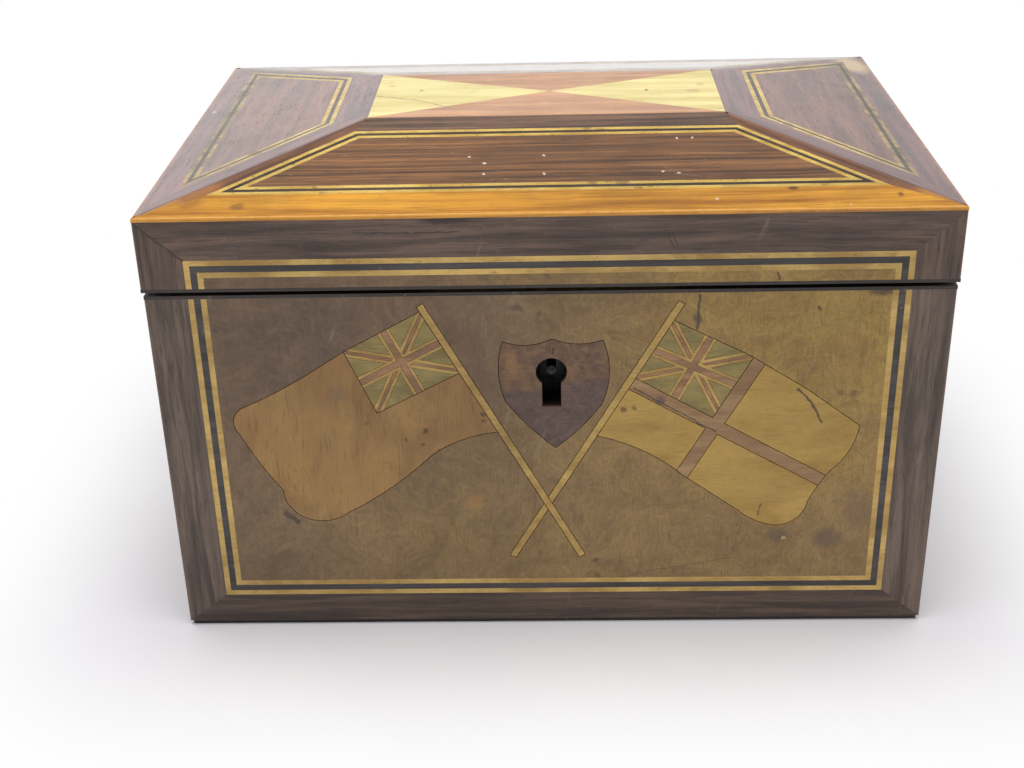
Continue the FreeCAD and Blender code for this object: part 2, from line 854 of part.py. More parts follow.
top_edge = FLAG_SHARES["right"][:2]
head_shares = tuple(near + (far - near) * UPRIGHT_HEAD_SHARE for near, far in zip(*top_edge))
upright_head = flag_point("right", head_shares)
hoist_levels = [LAYOUT_SHARES["right"][name] for name in ("flag_foot_share", "hoist_top_share")]
level_hoist = pole_point("right", hoist_levels[0] + (hoist_levels[1] - hoist_levels[0]) * LEVEL_HOIST_SHARE)
cross_ends = {
    "upright": (upright_head, flag_point("right", UPRIGHT_FOOT_SHARES)),
    "level": (level_hoist, flag_point("right", LEVEL_END_SHARES)),
}


def flag_cross(name, width, depth):
    """Both bars of the right flag's cross, run on past the flag's edges."""
    bars = [
        strip(f"{name}_{part}", ends, width, depth, size.flag_cross) for part, ends in cross_ends.items()
    ]
    return fuse(name, *bars)


cross_solid = flag_cross("right_cross", size.flag_cross, face_depth)
cross_cutter = flag_cross("right_cross_room", size.flag_cross + size.inlay_gap * 2, cut_depth)


def canton_corners(side):
    """Hoist top, outer top, outer foot and hoist foot of a canton."""
    return [
        hoist_point(side, "hoist_top"),
        flag_point(side, FLAG_SHARES[side][0]),
        flag_point(side, CANTON_CORNER_SHARES[side]),
        hoist_point(side, "canton_foot"),
    ]


def halfway(one, other):
    return ((one[0] + other[0]) / 2, (one[1] + other[1]) / 2)


def canton_bars(name, side, pattern, width):
    """Two crossing bars of a canton: its upright cross or its saltire."""
    top_hoist, top_outer, foot_outer, foot_hoist = canton_corners(side)
    pairs = [(top_hoist, foot_outer), (top_outer, foot_hoist)]
    if pattern == "cross":
        upper, lower = halfway(top_hoist, top_outer), halfway(foot_hoist, foot_outer)
        outer, hoist = halfway(top_outer, foot_outer), halfway(top_hoist, foot_hoist)
        pairs = [(upper, lower), (outer, hoist)]
    run_on = size.flag_cross
    bars = [strip(f"{name}_{index}", pair, width, cut_depth, run_on) for index, pair in enumerate(pairs)]
    return fuse(name, *bars)


def canton(side, whole, keep_out):
    """Ground, light bars and red bars of one canton, trimmed by what crosses it."""
    name = f"{side}_canton"
    trimmed = cut(name + "_trimmed", whole, *keep_out)
    gap = size.bar_gap * 2
    reds = {"cross": size.canton_cross_red, "saltire": size.canton_saltire_red}
    edges = {"cross": size.canton_cross_edge, "saltire": size.canton_saltire_edge}
    red = {}
    red_room = {}
    light = {}
    light_room = {}
    for pattern in reds:
        stem = f"{name}_{pattern}"
        light_width = reds[pattern] + edges[pattern] * 2
        red[pattern] = canton_bars(stem + "_red", side, pattern, reds[pattern])
        red_room[pattern] = canton_bars(stem + "_red_room", side, pattern, reds[pattern] + gap)
        light[pattern] = canton_bars(stem + "_light", side, pattern, light_width)
        light_room[pattern] = canton_bars(stem + "_light_room", side, pattern, light_width + gap)
    ground = cut(name + "_ground", trimmed, *light_room.values())
    saltire_room = cut(name + "_saltire_room", red_room["saltire"], light["cross"])
    saltire_red = cut(name + "_saltire_parted", red["saltire"], light_room["cross"])
    light_whole = common(name + "_light_whole", trimmed, fuse(name + "_lights", *light.values()))
    light_bars = cut(name + "_light_bars", light_whole, red_room["cross"], saltire_room)
    red_bars = common(name + "_red_bars", trimmed, fuse(name + "_reds", red["cross"], saltire_red))
    return ground, light_bars, red_bars


left_canton = facing("left_canton", canton_corners("left"), front)
right_canton_corners = canton_corners("right")[:2] + [
    upright_head,
    flag_point("right", CROSSING_SHARES),
    level_hoist,
]
right_canton = facing("right_canton", right_canton_corners, front)
left_ground, left_light, left_red = canton("left", left_canton, over_flags)
right_ground, right_light, right_red = canton("right", right_canton, over_flags + [cross_cutter])
node("canton_grounds", group("canton_ground_pair", left_ground, right_ground))
node("canton_light_bars", group("canton_light_pair", left_light, right_light))
node("canton_red_bars", group("canton_red_pair", left_red, right_red))

left_canton_room = grown("left_canton_room", left_canton)
right_canton_room = grown("right_canton_room", right_canton)
node("left_flag_field", cut("left_field_cut", flags["left"], *over_flags, left_canton_room))
over_right_field = over_flags + [right_canton_room, cross_cutter]
node("right_flag_field", cut("right_field_cut", flags["right"], *over_right_field))
cross_in_flag = common("right_cross_in_flag", flags["right"], cross_solid)
node("right_flag_cross", cut("right_cross_cut", cross_in_flag, *over_flags))

front_panel = block("front_panel", both(panel_x), face_depth, (panel_bottom, wall_top))
node("front_burr_panel", cut("front_panel_cut", front_panel, *flag_room.values(), *over_flags))


# Tea compartments

half_partition = size.partition / 2
lining_top = rim - size.tea_lining_below_rim
lid_seat = lining_top + size.fit
knob_seat = lid_seat + size.tea_lid
bevel_seat = knob_seat - size.tea_lid_bevel
lining_y = inner_y - size.fit
tea_lid_y = lining_y - size.tea_lid_margin
partition_z = (size.bottom_board, rim - size.partition_below_rim)
node("partition_board", block("partition", both(half_partition), both(inner_y), partition_z))
knob_profile = [
    (size.knob * shares[0], size.knob_height * shares[1]) + shares[2:] for shares in KNOB_SHARES
]
for side, sign in SIDES.items():
    low_x, high_x = beside(sign, half_partition + size.fit, inner_x - size.fit)
    shell = block(f"{side}_lining_block", (low_x, high_x), both(lining_y), (size.bottom_board, lining_top))
    hollow = block(
        f"{side}_lining_hollow",
        (low_x + size.tea_lining, high_x - size.tea_lining),
        both(lining_y - size.tea_lining),
        (size.bottom_board + size.tea_lining, lining_top + size.overrun),
    )
    node(f"{side}_tea_lining", cut(f"{side}_lining_open", shell, hollow))
    lid_x = (low_x + size.tea_lid_margin, high_x - size.tea_lid_margin)
    middle = (low_x + high_x) / 2
    lid_base = ((lid_x[1] - lid_x[0]) / 2, tea_lid_y)
    lid_top = (lid_base[0] - size.tea_lid_bevel, lid_base[1] - size.tea_lid_bevel)
    slab = block(f"{side}_tea_lid_slab", lid_x, both(tea_lid_y), (lid_seat, bevel_seat))
    edge = hipped(f"{side}_tea_lid_edge", lid_base, lid_top, size.tea_lid_bevel, middle, bevel_seat)
    node(f"{side}_tea_lid", fuse(f"{side}_tea_lid_solid", slab, edge))
    knob = turned(f"{side}_knob", knob_profile)
    place(knob, (middle, 0, knob_seat))
    node(f"{side}_tea_lid_knob", knob)


# Lid rails, crown board, lining, lipping and plain veneers

front_rail = block("front_rail", both(lid_skin_x), (-lid_skin_y, -lid_inner_y), rail_z)
node("lid_front_rail", cut("front_rail_cut", front_rail, link))
back_rail = block("back_rail", both(lid_skin_x), (lid_inner_y, lid_skin_y), rail_z)
node("lid_back_rail", cut("back_rail_cut", back_rail, *lid_back_room))
for side, sign in SIDES.items():
    rail_x = beside(sign, lid_inner_x, lid_skin_x)
    node(f"lid_{side}_rail", block(f"{side}_rail", rail_x, both(lid_inner_y), rail_z))

lid_outside = (lid_half_width, lid_half_depth)
lid_inside = (lid_inner_x, lid_inner_y)
flat_half = (size.flat_length / 2, size.flat_depth / 2)
crown_core = hipped("crown_core", lid_outside, flat_half, size.crown_rise, 0, crown_base)
crown_skirt = block("crown_skirt", both(lid_skin_x), both(lid_skin_y), (crown_bottom, crown_base))
node("lid_crown_board", fuse("crown_solid", crown_core, crown_skirt))
lining_z = (crown_bottom - size.lid_lining, crown_bottom)
node("lid_lining", block("lining_sheet", both(lid_inner_x), both(lid_inner_y), lining_z))
lid_lipping = mitred_frame("lid_lipping", lid_outside, lid_inside, lid_bottom, lid_wall_bottom)
node("lid_rim_lipping", cut("lid_lipping_cut", lid_lipping, link, *lid_back_room))

lid_sheets = []
for side, sign in SIDES.items():
    sheet_x = beside(sign, lid_skin_x, lid_half_width)
    side_sheet = block(f"lid_{side}_sheet", sheet_x, both(lid_skin_y), lid_face_z)
    lid_sheets.append(cut(f"lid_{side}_sheet_cut", side_sheet, lid_bevel))
node("lid_side_veneers", group("lid_sheet_pair", *lid_sheets))
lid_back_sheet = block("lid_back_sheet", both(lid_half_width), (lid_skin_y, lid_half_depth), lid_face_z)
node("lid_back_veneer", cut("lid_back_sheet_cut", lid_back_sheet, *lid_back_room))


# Veneer of the lid's slopes and flat top, cut from one hipped skin

skin_outside = hipped("skin_outside", lid_outside, flat_half, size.crown_rise, 0, eave)
skin_edge = block("skin_edge", both(lid_half_width), both(lid_half_depth), (crown_base, eave))
crown_skin = cut("crown_skin", fuse("skin_solid", skin_outside, skin_edge), crown_core)
skin_depth = size.veneer + size.crown_rise + size.overrun * 2
skin_base = crown_base - size.overrun


def skin_piece(name, outlines):
    """The part of the hipped skin that lies over a plan outline."""
    return common(name, crown_skin, prism(name + "_plan", "XY_Plane", outlines, skin_depth, skin_base))


def slope_trapezoids(half_eave, half_flat, run, bands):
    """Nested plan trapezoids of a slope as (along, run from the eave) pairs, the whole slope first."""
    eave_margin, start_hip, end_hip, flat_margin = bands
    lean = (half_eave - half_flat) / run
    stretch = root(lean * lean + 1)
    nested = [[(-half_eave, nothing), (half_eave, nothing), (half_flat, run), (-half_flat, run)]]
    for step in slope_steps:
        low = eave_margin + step
        high = run - flat_margin - step
        start = half_eave - stretch * (start_hip + step)
        end = half_eave - stretch * (end_hip + step)
        nested.append(
            [
                (lean * low - start, low),
                (end - lean * low, low),
                (end - lean * high, high),
                (lean * high - start, high),
            ]
        )
    return nested


def on_slope(side, corner):
    """Plan place of a slope's (along, run) pair."""
    along, run = corner
    places = {
        "front": (along, run - lid_half_depth),
        "back": (along, lid_half_depth - run),
        "left": (run - lid_half_width, along),
        "right": (lid_half_width - run, along),
    }
    return places[side]


slope_steps = [
    nothing,
    size.slope_boxwood_line,
    size.slope_boxwood_line + size.slope_ebony_line,
    size.slope_boxwood_line * 2 + size.slope_ebony_line,
]
flat_x, flat_y = flat_half
long_bands = (size.eave_band, size.hip_band, size.hip_band, size.flat_band)
short_bands = (size.side_eave_band, size.side_front_hip_band, size.side_back_hip_band, size.side_flat_band)
long_slope = slope_trapezoids(lid_half_width, flat_x, lid_half_depth - flat_y, long_bands)
short_slope = slope_trapezoids(lid_half_depth, flat_y, lid_half_width - flat_x, short_bands)
slopes = {"front": long_slope, "back": long_slope, "left": short_slope, "right": short_slope}
slope_pieces = {"banding": [], "boxwood": [], "ebony": [], "panel": []}
for side, nested in slopes.items():
    plans = [[on_slope(side, corner) for corner in trapezoid] for trapezoid in nested]
    slope_pieces["banding"].append(skin_piece(f"{side}_banding", [plans[0], plans[1]]))
    slope_pieces["boxwood"].append(skin_piece(f"{side}_outer_boxwood", [plans[1], plans[2]]))
    slope_pieces["ebony"].append(skin_piece(f"{side}_ebony", [plans[2], plans[3]]))
    slope_pieces["boxwood"].append(skin_piece(f"{side}_inner_boxwood", [plans[3], plans[4]]))
    slope_pieces["panel"].append(skin_piece(f"{side}_panel", [plans[4]]))
node("lid_slope_banding", group("slope_banding_set", *slope_pieces["banding"]))
node("lid_slope_boxwood_stringing", group("slope_boxwood_set", *slope_pieces["boxwood"]))
node("lid_slope_ebony_stringing", group("slope_ebony_set", *slope_pieces["ebony"]))
node("lid_slope_panels", group("slope_panel_set", *slope_pieces["panel"]))

flat_corners = [(-flat_x, -flat_y), (flat_x, -flat_y), (flat_x, flat_y), (-flat_x, flat_y)]
bow_tie = (size.bow_tie_x, size.bow_tie_y)
triangles = []
for index, corner in enumerate(flat_corners):
    following = flat_corners[(index + 1) % len(flat_corners)]
    triangles.append(skin_piece(f"top_triangle_{index}", [[corner, following, bow_tie]]))
node("top_brown_triangles", group("brown_pair", triangles[0], triangles[2]))
node("top_satinwood_triangles", group("satinwood_pair", triangles[1], triangles[3]))


# Build, test and write

document.recompute()
for feature in document.Objects:
    if {"Invalid", "Error"} & set(feature.State):
        raise RuntimeError(f"{feature.Name} failed: {feature.State}")
for feature in subparts:
    if feature.Shape.isNull() or not feature.Shape.isValid():
        raise RuntimeError(f"{feature.Label} has no valid shape")
    if not feature.Shape.Solids:
        raise RuntimeError(f"{feature.Label} has no solid")

os.makedirs("parts", exist_ok=True)
for feature in subparts:
    feature.Shape.exportStep(f"parts/{feature.Label}.step")
    print(feature.Label, len(feature.Shape.Solids), "solids", round(feature.Shape.Volume, 2), "mm3")
print(len(subparts), "sub-parts")
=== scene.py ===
"""Looks of the inlaid box: finishes, veneers laid along their grain, brass work, floor, light and camera."""

import logging
import math
from collections.abc import Callable, Sequence
from dataclasses import dataclass, replace
from enum import Enum

import bmesh
import bpy
from mathutils import Matrix, Vector


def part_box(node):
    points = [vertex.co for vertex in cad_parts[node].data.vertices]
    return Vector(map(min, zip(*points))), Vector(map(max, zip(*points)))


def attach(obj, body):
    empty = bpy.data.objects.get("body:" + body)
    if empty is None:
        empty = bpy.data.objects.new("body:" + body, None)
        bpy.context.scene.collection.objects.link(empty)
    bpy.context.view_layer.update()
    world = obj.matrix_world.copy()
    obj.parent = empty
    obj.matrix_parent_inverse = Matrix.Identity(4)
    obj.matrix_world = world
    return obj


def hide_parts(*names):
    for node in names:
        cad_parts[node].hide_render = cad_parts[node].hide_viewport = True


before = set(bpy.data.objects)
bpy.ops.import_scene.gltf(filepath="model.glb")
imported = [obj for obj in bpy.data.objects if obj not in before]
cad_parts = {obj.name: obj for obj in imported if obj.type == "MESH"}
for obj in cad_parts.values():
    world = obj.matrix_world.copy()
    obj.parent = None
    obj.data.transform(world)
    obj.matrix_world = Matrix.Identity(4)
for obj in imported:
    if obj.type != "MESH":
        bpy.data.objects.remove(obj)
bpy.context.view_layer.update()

MM = 0.001
Colour = tuple[float, float, float, float]
Screen = tuple[int, int, int]
Place = tuple[float, float, float]
Pair = tuple[float, float]
Four = tuple[float, float, float, float]
Socket = bpy.types.NodeSocket
Value = Socket | float | Sequence[float]
WHITE = (1.0, 1.0, 1.0, 1.0)
MIDDLE_GREY = (0.5, 0.5, 0.5)
log = logging.getLogger("inlaid_box")


def tint(red: int, green: int, blue: int) -> Colour:
    """Turn a colour as seen on a screen (0 to 255) into a linear shader colour by the sRGB curve.

    Args:
        red: its red.
        green: its green.
        blue: its blue.

    Returns:
        The linear colour with full opacity.
    """
    linear = []
    for level in (red, green, blue):
        share = level / 255
        linear.append(share / 12.92 if share <= 0.04045 else ((share + 0.055) / 1.055) ** 2.4)
    return (*linear, 1.0)


def tones(dark: Screen, light: Screen, pore: Screen) -> dict[str, Colour]:
    """Return the three colours of a wood under the names of its fields."""
    return {"dark": tint(*dark), "light": tint(*light), "pore": tint(*pore)}


class Graph:
    """A node tree with short ways of adding nodes that are already linked."""

    def __init__(self, tree: bpy.types.NodeTree) -> None:
        """Take over a node tree."""
        self.tree = tree

    def add(
        self, kind: str, inputs: dict[str | int, Value] | None = None, **settings: object
    ) -> bpy.types.Node:
        """Add one node.

        Args:
            kind: node type without its ShaderNode prefix.
            inputs: sockets to link, or constants, by input name or number.
            settings: the node's own properties.

        Returns:
            The new node.
        """
        node = self.tree.nodes.new("ShaderNode" + kind)
        for name, setting in settings.items():
            setattr(node, name, setting)
        for key, value in (inputs or {}).items():
            if isinstance(value, bpy.types.NodeSocket):
                self.tree.links.new(value, node.inputs[key])
            else:
                node.inputs[key].default_value = value
        return node

    def coords(self) -> Socket:
        """Return the object coordinates."""
        return self.add("TexCoord").outputs["Object"]

    def calc(self, operation: str, first: Value, second: Value = 0.0, clamp: bool = False) -> Socket:
        """Return the result of one Math node."""
        return self.add("Math", {0: first, 1: second}, operation=operation, use_clamp=clamp).outputs[0]

    def times(self, first: Value, second: Value) -> Socket:
        """Return the product of two values."""
        return self.calc("MULTIPLY", first, second)

    def shares(self, first: Socket, share: float, second: Socket, other: float) -> Socket:
        """Return two values added up in the given shares."""
        return self.calc("ADD", self.times(first, share), self.times(second, other))

    def blend(self, factor: Value, low: Value, high: Value, mode: str = "MIX") -> Socket:
        """Return the colour of one Mix node."""
        inputs = {0: factor, 6: low, 7: high}
        return self.add("Mix", inputs, data_type="RGBA", blend_type=mode).outputs[2]

    def cover(self, mask: Socket, share: float, colour: Value, over: Value) -> Socket:
        """Return a colour with another one over it, as thick as a share of the mask."""
        return self.blend(self.times(mask, share), colour, over)

    def span(self, value: Value, low: Value, high: Value, start: float = 0.0, end: float = 1.0) -> Socket:
        """Map low..high smoothly onto start..end."""
        inputs = {"Value": value, "From Min": low, "From Max": high, "To Min": start, "To Max": end}
        return self.add("MapRange", inputs, interpolation_type="SMOOTHSTEP").outputs["Result"]

    def noise(
        self, vector: Socket, scale: Value, detail: float = 2.0, rough: float = 0.5, bend: float = 0.0
    ) -> Socket:
        """Return the value of a noise pattern."""
        inputs = {"Vector": vector, "Scale": scale, "Detail": detail, "Roughness": rough, "Distortion": bend}
        return self.add("TexNoise", inputs).outputs[0]

    def shake(self, vector: Socket, scale: Value, detail: float = 2.0) -> Socket:
        """Return a noise's colour as a vector that lies about zero."""
        colour = self.add("TexNoise", {"Vector": vector, "Scale": scale, "Detail": detail}).outputs["Color"]
        return self.vector("SUBTRACT", colour, MIDDLE_GREY)

    def wobble(self, vector: Socket, scale: float, reach: float) -> Socket:
        """Push a vector about by a noise of the given scale, by at most reach metres."""
        push = self.vector("MULTIPLY", self.shake(vector, scale), (reach * 2,) * 3)
        return self.vector("ADD", vector, push)

    def vector(self, operation: str, first: Value, second: Value = (0.0, 0.0, 0.0)) -> Socket:
        """Return the vector of one Vector Math node."""
        return self.add("VectorMath", {0: first, 1: second}, operation=operation).outputs["Vector"]

    def measure(self, operation: str, first: Value, second: Value = (0.0, 0.0, 0.0)) -> Socket:
        """Return the value of one Vector Math node."""
        return self.add("VectorMath", {0: first, 1: second}, operation=operation).outputs["Value"]

    def parts(self, vector: Socket) -> tuple[Socket, Socket, Socket]:
        """Split a vector into its three values."""
        node = self.add("SeparateXYZ", {0: vector})
        return node.outputs[0], node.outputs[1], node.outputs[2]

    def mirrored(self, path: bpy.types.NodeOutputs) -> Socket:
        """Return 1 for the rays that show in a mirror or through glass."""
        return self.calc("MAXIMUM", path["Is Glossy Ray"], path["Is Transmission Ray"])


class Effect(Enum):
    """Effects that several finishes share, each a node group of its own."""

    GRAIN = "wood_grain"
    BURR = "burr_figure"
    PATINA = "patina"
    ARRIS = "arris_wear"
    HAIRLINE = "hairline"
    SPOT = "spot"
    RUBBING = "rubbing"
    TARNISH = "tarnish"


class EffectShop:
    """Builds each node group once and places it in the materials that use it."""

    def __init__(self) -> None:
        """Start with no group built."""
        self.groups: dict[Effect, bpy.types.NodeTree] = {}
        self.makers: dict[Effect, Callable[[], bpy.types.NodeTree]] = {
            Effect.GRAIN: self.make_grain,
            Effect.BURR: self.make_burr,
            Effect.PATINA: self.make_patina,
            Effect.ARRIS: self.make_arris,
            Effect.HAIRLINE: self.make_hairline,
            Effect.SPOT: self.make_spot,
            Effect.RUBBING: self.make_rubbing,
            Effect.TARNISH: self.make_tarnish,
        }

    def place(self, graph: Graph, effect: Effect, inputs: dict[str, Value]) -> dict[str, Socket]:
        """Place a group in a material.

        Args:
            graph: the material's graph.
            effect: which group.
            inputs: the group's inputs by name.

        Returns:
            The group's outputs by name.
        """
        if effect not in self.groups:
            self.groups[effect] = self.makers[effect]()
        node = graph.add("Group", inputs, node_tree=self.groups[effect])
        return {socket.name: socket for socket in node.outputs}

    @staticmethod
    def open_group(
        effect: Effect, floats: dict[str, float], vectors: Sequence[str] = ()
    ) -> tuple[Graph, dict[str, Socket]]:
        """Start a group.

        Args:
            effect: which group.
            floats: its number inputs with their defaults.
            vectors: its vector inputs beside Vector.

        Returns:
            The group's graph and its inputs by name.
        """
        tree = bpy.data.node_groups.new(effect.value, "ShaderNodeTree")
        for name in ("Vector", *vectors):
            tree.interface.new_socket(name=name, in_out="INPUT", socket_type="NodeSocketVector")
        for name, default in floats.items():
            socket = tree.interface.new_socket(name=name, in_out="INPUT", socket_type="NodeSocketFloat")
            socket.default_value = default
        entry = tree.nodes.new("NodeGroupInput")
        return Graph(tree), {socket.name: socket for socket in entry.outputs if socket.name}

    @staticmethod
    def close_group(graph: Graph, results: dict[str, Socket]) -> bpy.types.NodeTree:
        """Give a group its outputs.

        Args:
            graph: the group's graph.
            results: the sockets that leave it, by name.

        Returns:
            The finished tree.
        """
        leave = graph.tree.nodes.new("NodeGroupOutput")
        for name, socket in results.items():
            graph.tree.interface.new_socket(name=name, in_out="OUTPUT", socket_type="NodeSocketFloat")
            graph.tree.links.new(socket, leave.inputs[name])
        return graph.tree

    def make_grain(self) -> bpy.types.NodeTree:
        """Draw long streaks, fine fibres and short pores that run along the vector's X.

        Returns:
            The group's tree.
        """
        graph, given = self.open_group(Effect.GRAIN, {"Streaks": 300.0, "Length": 18.0, "Waver": 0.001})
        wave = graph.shake(given["Vector"], scale=22.0)
        across = graph.add("CombineXYZ", {0: 0.0, 1: given["Waver"], 2: given["Waver"]}).outputs[0]
        bent = graph.vector("ADD", given["Vector"], graph.vector("MULTIPLY", wave, across))
        shrink = graph.calc("DIVIDE", 1.0, given["Length"])
        factors = graph.add("CombineXYZ", {0: shrink, 1: 1.0, 2: 1.0}).outputs[0]
        streak = graph.vector("MULTIPLY", bent, factors)
        fibre = graph.vector("MULTIPLY", streak, (0.4, 1.0, 1.0))
        dash = graph.vector("MULTIPLY", bent, (0.07, 1.0, 1.0))
        broad = graph.noise(streak, given["Streaks"], detail=5.0, rough=0.6, bend=0.4)
        fine = graph.noise(fibre, scale=2600.0, detail=3.0, rough=0.65)
        short = graph.noise(dash, scale=2400.0, detail=1.0)
        results = {
            "Streak": graph.span(broad, 0.32, 0.68),
            "Fibre": graph.span(fine, 0.3, 0.7),
            "Pores": graph.span(short, 0.60, 0.70),
        }
        return self.close_group(graph, results)

    def make_burr(self) -> bpy.types.NodeTree:
        """Draw the clouds, swirls, small dark eyes and flecks of a burr.

        Returns:
            The group's tree.
        """
        graph, given = self.open_group(Effect.BURR, {"Swirl": 55.0, "Eye Size": 1.0})
        push = graph.vector("MULTIPLY", graph.shake(given["Vector"], given["Swirl"], detail=3.0), (0.03,) * 3)
        bent = graph.vector("ADD", given["Vector"], push)
        cloud = graph.noise(bent, scale=70.0, detail=4.0, rough=0.55, bend=0.8)
        swirl = graph.noise(bent, scale=260.0, detail=4.0, rough=0.6, bend=1.6)
        cells = graph.add("TexVoronoi", {"Vector": bent, "Scale": 120.0}).outputs["Distance"]
        sized = graph.calc("DIVIDE", cells, given["Eye Size"])
        crowd = graph.span(graph.noise(given["Vector"], scale=38.0), 0.5, 0.66)
        fleck = graph.noise(
            graph.vector("MULTIPLY", bent, (1.0, 1.0, 0.55)), scale=1500.0, detail=3.0, rough=0.7
        )
        results = {
            "Cloud": graph.span(cloud, 0.3, 0.7),
            "Swirl": graph.span(swirl, 0.32, 0.68),
            "Eyes": graph.times(graph.span(sized, 0.06, 0.26, 1.0, 0.0), crowd),
            "Fleck": graph.span(fleck, 0.35, 0.7),
        }
        return self.close_group(graph, results)

    def make_patina(self) -> bpy.types.NodeTree:
        """Draw broad uneven fading and small grime.

        Returns:
            The group's tree.
        """
        graph, given = self.open_group(Effect.PATINA, {})
        broad = graph.noise(given["Vector"], scale=16.0, detail=3.0, bend=0.3)
        middle = graph.noise(given["Vector"], scale=85.0, detail=4.0, rough=0.6)
        grime = graph.noise(given["Vector"], scale=420.0, detail=4.0, rough=0.7)
        results = {
            "Fade": graph.span(graph.shares(broad, 0.7, middle, 0.3), 0.36, 0.64),
            "Grime": graph.span(grime, 0.58, 0.74),
        }
        return self.close_group(graph, results)

    def make_arris(self) -> bpy.types.NodeTree:
        """Draw the wear along the upright corners of a box and along one level edge of it.

        Returns:
            The group's tree.
        """
        sizes = {"Half Width": 0.1, "Half Depth": 0.07, "Level": 0.1, "Reach": 0.003}
        graph, given = self.open_group(Effect.ARRIS, sizes)
        x, y, z = graph.parts(given["Vector"])
        side = graph.calc("SUBTRACT", given["Half Width"], graph.calc("ABSOLUTE", x))
        depth = graph.calc("SUBTRACT", given["Half Depth"], graph.calc("ABSOLUTE", y))
        upright = graph.calc("MAXIMUM", side, depth)
        level = graph.calc("ABSOLUTE", graph.calc("SUBTRACT", z, given["Level"]))
        edge = graph.calc("MAXIMUM", level, graph.calc("MINIMUM", side, depth))
        near = graph.calc("DIVIDE", graph.calc("MINIMUM", upright, edge), given["Reach"])
        ragged = graph.times(graph.noise(given["Vector"], scale=260.0, detail=4.0, rough=0.7), 1.5)
        worn = graph.span(graph.calc("SUBTRACT", ragged, near), -0.15, 0.75)
        return self.close_group(graph, {"Worn": worn})

    def make_hairline(self) -> bpy.types.NodeTree:
        """Draw a thin wandering crack between two points, seen across the face that Face keeps.

        Returns:
            The group's tree.
        """
        graph, given = self.open_group(Effect.HAIRLINE, {"Width": 0.0002}, ("Start", "End", "Face"))
        shaken = graph.wobble(given["Vector"], scale=260.0, reach=0.0007)
        chord = graph.vector("SUBTRACT", given["End"], given["Start"])
        run = graph.vector("MULTIPLY", chord, given["Face"])
        length = graph.measure("LENGTH", run)
        heading = graph.vector("NORMALIZE", run)
        offset = graph.vector("MULTIPLY", graph.vector("SUBTRACT", shaken, given["Start"]), given["Face"])
        along = graph.measure("DOT_PRODUCT", offset, heading)
        foot = graph.add("VectorMath", {0: heading, "Scale": along}, operation="SCALE").outputs["Vector"]
        away = graph.measure("LENGTH", graph.vector("SUBTRACT", offset, foot))
        ragged = graph.times(graph.noise(given["Vector"], scale=900.0), 1.6)
        width = graph.times(given["Width"], ragged)
        thin = graph.span(away, graph.times(width, 0.4), width, 1.0, 0.0)
        begun = graph.calc("GREATER_THAN", along, 0.0)
        inside = graph.times(begun, graph.calc("LESS_THAN", along, length))
        return self.close_group(graph, {"Line": graph.times(thin, inside)})

    def make_spot(self) -> bpy.types.NodeTree:
        """Draw a ragged patch round one point, seen across the face that Face keeps.

        Returns:
            The group's tree.
        """
        graph, given = self.open_group(Effect.SPOT, {"Radius": 0.002}, ("Centre", "Face"))
        shaken = graph.wobble(given["Vector"], scale=420.0, reach=0.001)
        offset = graph.vector("MULTIPLY", graph.vector("SUBTRACT", shaken, given["Centre"]), given["Face"])
        away = graph.calc("DIVIDE", graph.measure("LENGTH", offset), given["Radius"])
        return self.close_group(graph, {"Patch": graph.span(away, 0.35, 1.1, 1.0, 0.0)})

    def make_rubbing(self) -> bpy.types.NodeTree:
        """Draw fine scratches in two directions, pale specks and uneven polish.

        Returns:
            The group's tree.
        """
        graph, given = self.open_group(Effect.RUBBING, {})
        lines = []
        for turn, stretch in ((0.5, (0.03, 1.0, 1.0)), (-1.1, (1.0, 0.04, 0.04))):
            inputs = {"Vector": given["Vector"], "Rotation": (turn * 0.3, turn, turn)}
            turned = graph.add("Mapping", inputs).outputs[0]
            fine = graph.noise(graph.vector("MULTIPLY", turned, stretch), scale=1500.0, detail=1.0)
            rare = graph.span(graph.noise(given["Vector"], scale=55.0), 0.46, 0.66)
            lines.append(graph.times(graph.span(fine, 0.69, 0.75), rare))
        cells = graph.add("TexVoronoi", {"Vector": given["Vector"], "Scale": 190.0})
        pick = graph.calc("GREATER_THAN", graph.parts(cells.outputs["Color"])[0], 0.9)
        results = {
            "Scratches": graph.calc("MAXIMUM", lines[0], lines[1]),
            "Specks": graph.times(graph.span(cells.outputs["Distance"], 0.035, 0.07, 1.0, 0.0), pick),
            "Polish": graph.noise(given["Vector"], scale=120.0, detail=4.0, rough=0.6),
        }
        return self.close_group(graph, results)

    def make_tarnish(self) -> bpy.types.NodeTree:
        """Draw the blotches, the brushing along X and the pits of old metal.

        Returns:
            The group's tree.
        """
        graph, given = self.open_group(Effect.TARNISH, {})
        blotch = graph.noise(given["Vector"], scale=260.0, detail=5.0, rough=0.65, bend=0.5)
        drawn = graph.vector("MULTIPLY", given["Vector"], (0.05, 1.0, 1.0))
        pits = graph.noise(given["Vector"], scale=1900.0, detail=3.0, rough=0.7)
        results = {
            "Blotch": graph.span(blotch, 0.36, 0.68),
            "Brushing": graph.noise(drawn, scale=3200.0),
            "Pits": graph.span(pits, 0.6, 0.75),
        }
        return self.close_group(graph, results)


shop = EffectShop()


class Grain(Enum):
    """Which way the fibres run; a laid piece has a UV map along its own grain."""

    ALONG_X = 0
    ALONG_Y = 1
    UPRIGHT = 2
    LAID = 3

    def turn(self) -> Place:
        """Find the turn that brings the fibres onto X.

        Returns:
            The Mapping node's rotation.
        """
        quarter = math.pi / 2
        turns = {Grain.ALONG_Y: (0.0, 0.0, -quarter), Grain.UPRIGHT: (0.0, quarter, 0.0)}
        return turns.get(self, (0.0, 0.0, 0.0))


